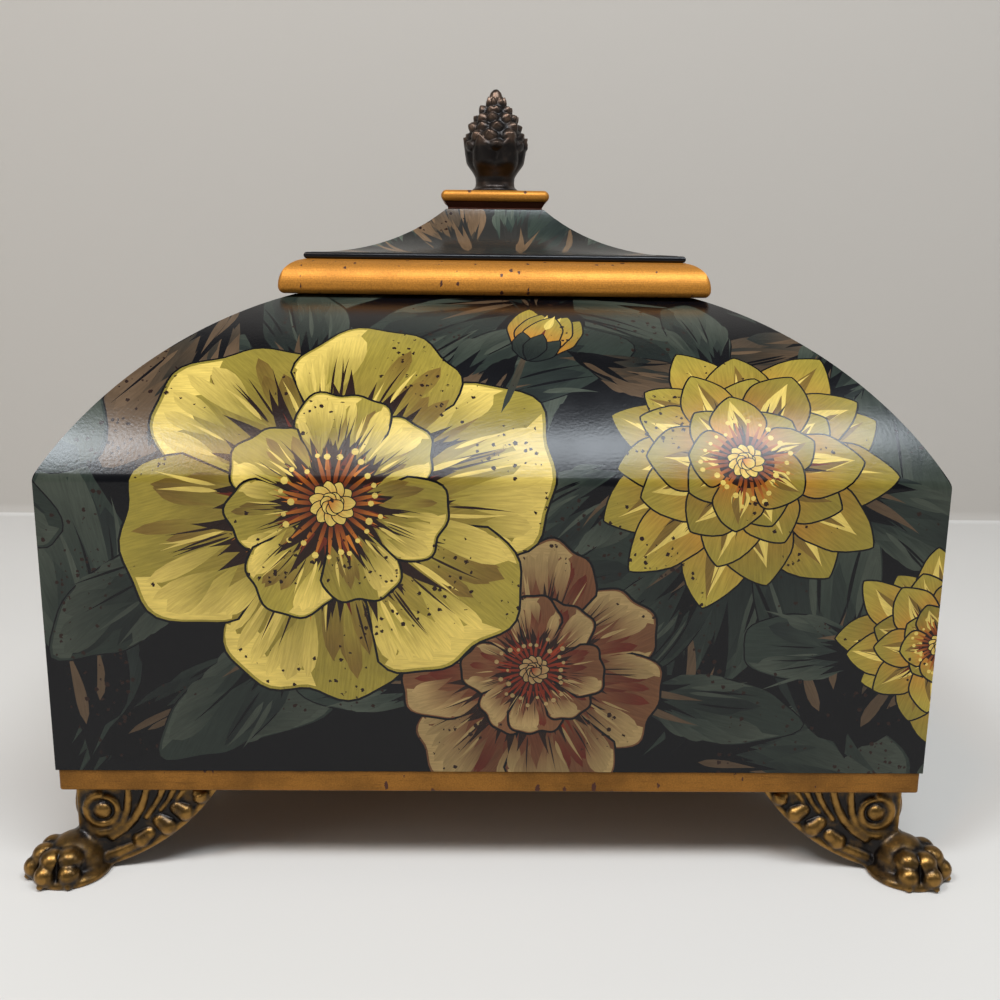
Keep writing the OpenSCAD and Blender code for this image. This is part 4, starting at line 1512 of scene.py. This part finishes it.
LOBES = (
    (0.85, 3.6, 3.2, 0.6, 1.3), (0.655, 4.3, 3.5, 2.2, 1.8), (0.47, 4.5, 3.6, 2.2, 1.8),
    (0.255, 4.7, 3.3, 2.6, 0.15), (0.0, 3.4, 2.5, 8.6, 0.05),
)


def wing_shape(p, foot_h, inset):
    """One wing of a bracket along x, with scroll, stems, lobes and a beaded rim; y is the way in."""
    x, y, z = p
    low, tip, sweep, clear, thick = 19.0, 55.5, 76.0, 2.5, 4.6
    chord = np.array([tip - low, foot_h - clear])
    size = np.linalg.norm(chord)
    drop = math.sqrt(sweep ** 2 - size ** 2 / 4) / size
    cx, cz = np.array([low, clear]) + chord / 2 + drop * np.array([-chord[1], chord[0]])
    t0, t1 = math.atan2(low - cx, cz - clear), math.atan2(tip - cx, cz - foot_h)

    def on_sweep(share, back):
        turn = t0 + share * (t1 - t0)
        return cx + (sweep - back) * math.sin(turn), cz - (sweep - back) * math.cos(turn), turn

    face = inset + 0.9
    edge = np.hypot(x - cx, z - cz) - sweep
    shape = np.maximum.reduce([edge, face - y, y - face - thick, clear - z, inset + 1.5 - x])
    rim = [on_sweep(s, 0.9) for s in np.linspace(-0.12, 1.0, 12)]
    shape = soft_union(shape, path_rod(p, [(a, face + 0.2, b) for a, b, _ in rim], 1.1, 0.9), 0.6)
    eye_x, eye_y, eye_z = eye = (inset + 10.3, face - 0.1, foot_h - 9.3)
    turns, radii = np.radians(np.linspace(100, 480, 22)), np.linspace(6.0, 5.0, 22)
    scroll = [(eye_x + r * math.cos(a), eye_y, eye_z + r * math.sin(a)) for a, r in zip(turns, radii)]
    shape = soft_union(shape, path_rod(p, scroll, 1.75, 1.1), 0.7)
    shape = soft_union(shape, ball(p, eye, 3.3, (1, 0.75, 1)), 0.5)
    for points, ra, rb in FRONDS:
        shape = soft_union(shape, path_rod(p, [(a, face, b) for a, b in points], ra, rb), 0.7)
    for share, back, r, half, across in LOBES:
        a, b, turn = on_sweep(share, back)
        lean = turn + across
        da, db = half * math.cos(lean), half * math.sin(lean)
        bulb = rod(p, (a - da * 0.4, face + 0.7, b - db * 0.4), (a + da, face + 0.8, b + db), r, r * 0.82)
        shape = soft_union(shape, bulb, 0.5)
    return shape


def paw_shape(p):
    """A squat paw on the diagonal: ankle, sole, four toes of two joints each, and a short claw on each."""
    middle, outwards, spread = 3, 225, 37
    shape = ball(p, (3.4, 3.4, 4.4), 9.9)
    shape = soft_union(shape, rod(p, (12.5, 12.5, 26), (8.6, 8.6, 11), 5.2, 6.2), 2.0)
    shape = soft_union(shape, ball(p, (2.2, 2.2, 1.2), 13.6, (1, 1, 0.3)), 1.5)

    def at(toe, r, z):
        a = math.radians(outwards + spread * toe)
        return middle + r * math.cos(a), middle + r * math.sin(a), z

    for toe in (-1.5, -0.5, 0.5, 1.5):
        reach = 16.9 - (1.8 if abs(toe) > 1 else 0)
        knuckle = ball(p, at(toe, reach - 7.4, 8.0), 4.5, (1, 1, 0.95))
        joint = ball(p, at(toe, reach - 3.7, 4.5), 3.75)
        claw = rod(p, at(toe, reach - 2.2, 2.6), at(toe, reach - 0.9, 1.5), 1.7, 1.0)
        shape = soft_union(shape, soft_union(soft_union(knuckle, joint, 1.0), claw, 0.5), 0.8)
        if toe < 1:
            groove = rod(p, at(toe + 0.5, 6.5, 15.5), at(toe + 0.5, reach - 1.2, 2), 0.75)
            shape = -soft_union(-shape, groove, 0.7)
    return shape


class CASKET_OT_cast_feet(Operator):
    """Casts the four feet: a two-winged bracket on a paw"""

    bl_idname = "casket.cast_feet"
    bl_label = "Cast feet"

    def execute(self, context):
        settings = context.scene.casket_casting
        metal = casting("antique brass", tuple(settings.brass), 0.26)
        foot_h, inset, step = node_box("front_plinth")[0][2], 3.5, settings.step
        toe, tip, post_r, flange, thick = -14.0, 58.0, 7.4, 44, 2.5
        axis = [np.arange(toe, tip, step), np.arange(toe, tip, step), np.arange(-2.0, foot_h + 2, step)]
        p = np.meshgrid(*axis, indexing="ij")
        wing = wing_shape(p, foot_h, inset)
        shape = soft_union(wing, wing.transpose(1, 0, 2), 1.0)
        post = np.maximum(np.hypot(p[0] - inset - post_r, p[1] - inset - post_r) - post_r, 6 - p[2])
        shape = soft_union(shape, post, 0.8)
        inner = inset + post_r
        seat = np.maximum.reduce([
            p[0] + p[1] - inner - flange, foot_h - thick - p[2], inner - p[0], inner - p[1],
        ])
        shape = soft_union(np.minimum(shape, seat), paw_shape(p), 1.0)
        shape = np.maximum.reduce([shape, -p[2], p[2] - foot_h])
        low = np.array([a[0] for a in axis])
        vertices, faces = surface_of(shape, low, step)
        relief = 0.4 + sampled(blurred(shape, 4), (vertices - low) / step) * 1.2
        half = np.array([node_box("right_wall")[1][0], -node_box("front_wall")[0][1]])
        vertices[:, 2] = np.clip(vertices[:, 2], 0, foot_h)
        for corner, (sx, sy) in CORNERS.items():
            placed = vertices.copy()
            placed[:, 0] = sx * (half[0] - vertices[:, 0])
            placed[:, 1] = sy * (half[1] - vertices[:, 1])
            turned = faces if sx * sy > 0 else faces[:, ::-1]
            foot = make_object(f"{corner}_cast_foot", placed, turned.tolist(), metal)
            set_relief(foot.data, relief)
            face_outwards(foot.data)
            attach(foot, "casket")
            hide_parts(f"{corner}_foot")
        return {"FINISHED"}


def blurred(field, reach):
    """The field averaged over a small cube."""
    for axis in range(3):
        total = np.zeros_like(field)
        for shift in range(-reach, reach + 1):
            total += np.roll(field, shift, axis)
        field = total / (2 * reach + 1)
    return field


def sampled(field, places):
    """Values of the field at places given in grid steps."""
    low = np.clip(places.astype(int), 0, np.array(field.shape) - 2)
    part = places - low
    value = 0
    for i in (0, 1):
        for j in (0, 1):
            for k in (0, 1):
                weight = np.abs(1 - i - part[:, 0]) * np.abs(1 - j - part[:, 1]) * np.abs(1 - k - part[:, 2])
                value = value + weight * field[low[:, 0] + i, low[:, 1] + j, low[:, 2] + k]
    return value


def face_outwards(mesh):
    """Turns the faces outwards."""
    work = bmesh.new()
    work.from_mesh(mesh)
    bmesh.ops.recalc_face_normals(work, faces=work.faces)
    work.to_mesh(mesh)
    work.free()
    mesh.update()


# Pine cone knob: its outline from the foot up, in mm, as (radius, height)

KNOB_OUTLINE = (
    (9.6, 0), (9.9, 0.5), (9.8, 1.1), (9.0, 1.7), (8.4, 2.3), (8.2, 4), (8.4, 6), (9.3, 8.4), (10.8, 10),
    (12.2, 11.7), (13.2, 13.6), (13.7, 16), (13.8, 19.5), (13.3, 23), (12.0, 26.5), (9.9, 30.8), (7.2, 34.6),
    (4.6, 38), (2.7, 40.4), (0.6, 41.8),
)


def lathed(profile, steps):
    """Vertices and faces of a turned solid; the profile is (radius, height) from the bottom to the top."""
    angles = np.linspace(0, 2 * math.pi, steps, endpoint=False)
    vertices = [(r * math.cos(a), r * math.sin(a), z) for r, z in profile for a in angles]
    rows = len(profile)
    faces = [
        (i * steps + j, i * steps + (j + 1) % steps, (i + 1) * steps + (j + 1) % steps, (i + 1) * steps + j)
        for i in range(rows - 1) for j in range(steps)
    ]
    faces += [tuple(range(steps))[::-1], tuple((rows - 1) * steps + j for j in range(steps))]
    return vertices, faces


def lump_mesh(name):
    """One scale of the cone, 2 wide and 2 high: a thick lump whose nose points out and up (+x, +z)."""
    work = bmesh.new()
    bmesh.ops.create_icosphere(work, subdivisions=2, radius=1)
    for vertex in work.verts:
        x, y, z = vertex.co
        nose = math.exp(-((y / 0.55) ** 2 + ((z - 0.35) / 0.5) ** 2)) if x > 0 else 0
        vertex.co = (0.8 * x + 0.42 * nose, y * (1 - 0.18 * max(z, 0)), z + 0.12 * nose)
    mesh = bpy.data.meshes.new(name)
    work.to_mesh(mesh)
    work.free()
    return mesh


def cup_leaf_mesh(name, profile, low, high, half_width, reach):
    """A leaf of the cup, bent round the knob's axis, its middle at +x; z is 0 at the knob's foot."""
    rows, columns, depth = 14, 10, 2.2
    radii, heights = zip(*profile)
    outer, inner = [], []
    for i in range(rows + 1):
        v = i / rows
        z = low + (high - low) * v
        half = half_width * math.sin(math.pi * (0.3 + 0.695 * v)) ** 0.75
        r = float(np.interp(z, heights, radii))
        for j in range(columns + 1):
            u = 2 * j / columns - 1
            crown = 1 - abs(u) ** 2.5
            out = min(r + 0.1 + 1.4 * crown * min(1, 3 * v) + 1.3 * v ** 5, reach)
            for rim, radius in ((outer, out), (inner, r - depth)):
                turn = u * half / r
                rim.append((radius * math.cos(turn) * MM, radius * math.sin(turn) * MM, z * MM))
    mesh = bpy.data.meshes.new(name)
    mesh.from_pydata(outer + inner, [], sheet_faces(rows, columns))
    return mesh


def cone_tree():
    """Staggered rows of scales round an egg: sizes in metres, the egg's widest place at its foot."""
    name = "Pine cone scales"
    tree, start, end = geometry_tree(name, [
        ("Scale", "NodeSocketObject", None), ("Rows", "NodeSocketInt", 7), ("Round", "NodeSocketInt", 8),
        ("Foot height", FLOAT, 0.26), ("Height", FLOAT, 0.02), ("Radius", FLOAT, 0.012),
        ("Scale length", FLOAT, 0.008), ("Scale width", FLOAT, 0.01), ("Unevenness", FLOAT, 0.1),
        ("Material", "NodeSocketMaterial", None),
    ])

    def given(label):
        return Field(tree, start.outputs[label])

    def chance(spread, seed):
        """A value between plus and minus half the spread, its own for each scale."""
        node = add(
            tree, "FunctionNodeRandomValue", {"data_type": "FLOAT"},
            i_2=-spread / 2, i_3=spread / 2, Seed=seed,
        )
        return Field(tree, node.outputs[1])

    rows, around, uneven = given("Rows"), given("Round"), given("Unevenness")
    line = add(tree, "GeometryNodeMeshLine", Count=rows * around)
    index = number_field(tree)
    row = (index / around + 1e-4).floor()
    turn = ((index - row * around) / around + (row % 2.0) / (around * 2.0)) * (2 * math.pi)
    turn = turn + chance(2.7, 11) * uneven
    up = row / rows
    rim = ((up.power(1.5) * -1.0 + 1.0).most(0.01)).power(0.95)
    radius = given("Radius") * rim
    z = given("Foot height") + given("Height") * up
    place = vector_of(tree, radius * turn.cos(), radius * turn.sin(), z)
    placed = add(tree, "GeometryNodeSetPosition", Geometry=line.outputs[0], Position=place)
    scale = add(tree, "GeometryNodeObjectInfo", Object=start.outputs["Scale"]).outputs["Geometry"]
    lean = up.power(2.0) * -0.8 + chance(3.1, 12) * uneven
    spin = add(tree, "FunctionNodeEulerToRotation", i_0=vector_of(tree, 0.0, lean, turn))
    size = up.power(2.0) * -0.4 + 1.0 + chance(1.9, 13) * uneven * 1.2
    wide, long = given("Scale width") * (rim * 0.9 + 0.1), given("Scale length") * size
    stamp = add(
        tree, "GeometryNodeInstanceOnPoints", Points=placed.outputs[0], Instance=scale,
        Rotation=spin.outputs[0], Scale=vector_of(tree, long, wide, long),
    )
    finish_tree(tree, start, end, stamp.outputs[0])
    return tree


def knob_relief(r, z, under, sink):
    """How high a place on the knob lies: scales over their rows, the plain cup, and the foot ring."""
    proud = (r - under) / sink
    cup = np.clip((21 - z) / 3, 0, 1) * np.clip((z - 3) / 3, 0, 1)
    return (0.02 + 1.05 * proud) * (1 - cup) + 0.12 * cup + np.where(z < 4, 0.3, 0)


class CASKET_OT_pine_cone(Operator):
    """Casts the pine cone knob: a cup of leaves and rows of scales"""

    bl_idname = "casket.pine_cone"
    bl_label = "Pine cone knob"

    def execute(self, context):
        settings = context.scene.casket_casting
        metal = casting("dark bronze", tuple(settings.bronze), 0.3)
        low, high = node_box("pine_cone_knob")
        base, top, reach, sink = low[2], high[2], high[0], 2.3
        core = [
            (max(r - sink * min(max((z - 8) / 6, 0), 1), 0.5), z - (0.9 if z > 30 else 0))
            for r, z in KNOB_OUTLINE
        ]
        tip = (
            (0.3, top - 6), (2.9, top - 5.5), (3.0, top - 3.6), (2.3, top - 1.5), (1.1, top - 0.2),
            (0.3, top),
        )
        lump = in_scene("one_lump", lump_mesh("one_lump"))
        leaf = in_scene("one_leaf", cup_leaf_mesh("one_leaf", core, 6.6, 22.5, 6.0, reach))
        tree = cone_tree()
        parts = [
            make_object("knob_core", *lathed([(r, base + z) for r, z in core], 72), metal),
            run_tree("knob_scales", tree, {
                "Scale": lump, "Material": metal, "Rows": 6, "Round": 9, "Foot height": (base + 18.4) * MM,
                "Height": 21.4 * MM, "Radius": (reach - 2.9) * MM, "Scale length": 2.9 * MM,
                "Scale width": 4.1 * MM, "Unevenness": 0.13,
            }),
            run_tree("knob_leaves", tree, {
                "Scale": leaf, "Material": metal, "Rows": 1, "Round": 6, "Foot height": base * MM,
                "Height": 0.0, "Radius": 0.0, "Scale length": 1.0, "Scale width": 1.0, "Unevenness": 0.0,
            }),
            make_object("knob_tip", *lathed(tip, 24), metal),
        ]
        for drawing in (lump, leaf):
            bpy.data.objects.remove(drawing)
        knob = fused(joined("cast_pine_cone", parts, metal), 0.36 * MM, metal)
        places = np.zeros(3 * len(knob.data.vertices))
        knob.data.vertices.foreach_get("co", places)
        places = places.reshape(-1, 3) / MM
        r, z = np.hypot(places[:, 0], places[:, 1]), places[:, 2] - base
        under = np.interp(z, [h for _, h in core], [radius for radius, _ in core])
        over = (reach - 0.03) / np.maximum(r, reach - 0.03)
        places[:, :2] *= over[:, None]
        places[:, 2] = np.clip(places[:, 2], base, top - 0.02)
        knob.data.vertices.foreach_set("co", (places * MM).ravel())
        set_relief(knob.data, knob_relief(r, z, under, sink))
        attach(knob, "lid")
        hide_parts("pine_cone_knob")
        return {"FINISHED"}


def fused(piece, voxel, material):
    """The piece's overlapping solids run together into one cast surface."""
    modifier = piece.modifiers.new("Fuse", "REMESH")
    modifier.mode = "VOXEL"
    modifier.voxel_size = voxel
    piece.modifiers.new("Soften", "SMOOTH").iterations = 2
    cast = settled(piece, piece.name)
    one_material(cast.data, material)
    return cast


def joined(name, parts, material):
    """Several mesh objects as one."""
    work = bmesh.new()
    for part in parts:
        work.from_mesh(part.data)
        bpy.data.objects.remove(part)
    bmesh.ops.recalc_face_normals(work, faces=work.faces)
    mesh = bpy.data.meshes.new(name)
    work.to_mesh(mesh)
    work.free()
    one_material(mesh, material)
    return in_scene(name, mesh)


class CASKET_OT_inside(Operator):
    """Lays the felt in the box and finishes the hidden wood and the fixings"""

    bl_idname = "casket.inside"
    bl_label = "Felt, wood and fixings"

    def execute(self, context):
        low, high = node_box("floor_felt")
        columns, rows, worn, nap = 55, 45, 0.35, 0.12
        rng = np.random.default_rng(5)
        x, y = np.linspace(low[0], high[0], columns + 1), np.linspace(low[1], high[1], rows + 1)
        upper, lower = [], []
        for j in range(rows + 1):
            for i in range(columns + 1):
                rim = i in (0, columns) or j in (0, rows)
                upper.append((x[i], y[j], high[2] - (worn if rim else nap * rng.random())))
                lower.append((x[i], y[j], low[2] + 0.02))
        felt = make_object("felt_lining", upper + lower, sheet_faces(rows, columns), wool_felt())
        tidy_normals(felt, 50)
        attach(felt, "casket")
        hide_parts("floor_felt")
        finish_node(bare_wood(), "floor_board", *(f"{corner}_glue_block" for corner in CORNERS))
        finish_node(zinc_steel(), "foot_screws", "knob_stud", "knob_washer", "knob_nut")
        return {"FINISHED"}


def studio_walls(settings):
    """The floor and the backdrop, joined by a small bend behind the object."""
    front, wall, bend, top, side = -1500, 446, 10, 1800, 2600
    profile = [(front, 0)] + arc_points(wall - bend, bend, bend, -90, 0, 8) + [(wall, top)]
    for name, tint, part in (
        ("studio_floor", settings.floor, profile[:5]), ("backdrop", settings.backdrop, profile[4:]),
    ):
        material, tree, shader = new_material(name)
        set_inputs(tree, shader, Base_Color=tint, Roughness=0.9, Specular_IOR_Level=0.1)
        vertices = [(x, y, z) for y, z in part for x in (-side, side)]
        faces = [(2 * k, 2 * k + 1, 2 * k + 3, 2 * k + 2) for k in range(len(part) - 1)]
        make_object(name, vertices, faces, material)


def studio_lights(key, fill):
    """Soft windows overhead, a warm lamp, two side lights and a dim world; places and sizes in metres."""
    world = bpy.data.worlds.new("studio")
    world.use_nodes = True
    world.node_tree.nodes["Background"].inputs["Color"].default_value = (0.92, 0.95, 1.0, 1)
    world.node_tree.nodes["Background"].inputs["Strength"].default_value = 0.15
    bpy.context.scene.world = world
    middle = Vector((0, 0, 0.11))
    lights = (
        ("window", (0.25, -0.70, 1.32), (0.90, 0.32), key, (0.86, 0.93, 1.0)),
        ("window_left", (-0.70, -0.76, 1.32), (0.30, 0.32), key * 0.6, (0.85, 0.93, 1.0)),
        ("warm_lamp", (-0.42, -0.82, 1.30), (0.14, 0.24), key * 0.13, (1.0, 0.60, 0.36)),
        ("left", (-1.25, -0.75, 0.62), (0.5, 0.7), fill, (1.0, 0.95, 0.88)),
        ("right", (1.2, -0.5, 0.8), (0.5, 0.7), fill * 0.8, (0.95, 0.97, 1.0)),
    )
    for name, place, size, watts, tint in lights:
        data = bpy.data.lights.new(name, "AREA")
        data.shape = "RECTANGLE"
        data.size, data.size_y = size
        data.energy = watts
        data.color = tint
        lamp = in_scene(name, data)
        lamp.location = place
        lamp.rotation_euler = (middle - Vector(place)).to_track_quat("-Z", "Y").to_euler()


def studio_camera(lens):
    """The camera at the photograph's place, fitted to the edges of the body."""
    place = (-0.00418, -0.46874, 0.21016)
    pitch, yaw, roll = (math.radians(a) for a in (11.961, 0.973, 0.687))
    data = bpy.data.cameras.new("camera")
    data.sensor_width = 36
    data.lens = lens
    forward = Vector((math.sin(yaw) * math.cos(pitch), math.cos(yaw) * math.cos(pitch), -math.sin(pitch)))
    right = Vector((math.cos(yaw), -math.sin(yaw), 0))
    up = right.cross(forward)
    x_axis = right * math.cos(roll) + up * math.sin(roll)
    y_axis = -right * math.sin(roll) + up * math.cos(roll)
    turn = Matrix((x_axis, y_axis, -forward)).transposed().to_4x4()
    camera = in_scene("camera", data)
    camera.matrix_world = Matrix.Translation(place) @ turn
    bpy.context.scene.camera = camera


class CASKET_OT_stage(Operator):
    """Sets up the floor, the backdrop, the lights and the camera"""

    bl_idname = "casket.stage"
    bl_label = "Stage"

    def execute(self, context):
        settings = context.scene.casket_stage
        context.scene.view_settings.view_transform = "Standard"
        studio_walls(settings)
        studio_lights(settings.key_power, settings.fill_power)
        studio_camera(settings.lens)
        return {"FINISHED"}


class CASKET_PT_panel(Panel):
    bl_label = "Casket"
    bl_idname = "CASKET_PT_panel"
    bl_space_type = "VIEW_3D"
    bl_region_type = "UI"
    bl_category = "Casket"

    def draw(self, context):
        for operator in OPERATORS:
            self.layout.operator(operator.bl_idname)
        for attribute, group in SETTINGS.items():
            box = self.layout.box()
            for name in group.__annotations__:
                box.prop(getattr(context.scene, attribute), name)


SETTINGS = {
    "casket_body": CasketBodySettings,
    "casket_paint": CasketPaintSettings,
    "casket_gilt": CasketGiltSettings,
    "casket_casting": CasketCastingSettings,
    "casket_stage": CasketStageSettings,
}
OPERATORS = (
    CASKET_OT_stage,
    CASKET_OT_painted_panels,
    CASKET_OT_painted_canopy,
    CASKET_OT_gilding,
    CASKET_OT_cast_feet,
    CASKET_OT_pine_cone,
    CASKET_OT_inside,
)


def register():
    for cls in (*SETTINGS.values(), *OPERATORS, CASKET_PT_panel):
        bpy.utils.register_class(cls)
    for attribute, group in SETTINGS.items():
        setattr(bpy.types.Scene, attribute, PointerProperty(type=group))


def unregister():
    for attribute in SETTINGS:
        delattr(bpy.types.Scene, attribute)
    for cls in reversed((*SETTINGS.values(), *OPERATORS, CASKET_PT_panel)):
        bpy.utils.unregister_class(cls)


def main():
    """Clears Blender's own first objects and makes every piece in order."""
    for name in ("Cube", "Light", "Camera"):
        if name in bpy.data.objects:
            bpy.data.objects.remove(bpy.data.objects[name])
    register()
    for operator in OPERATORS:
        group, name = operator.bl_idname.split(".")
        getattr(getattr(bpy.ops, group), name)()


if __name__ == "__main__":
    main()
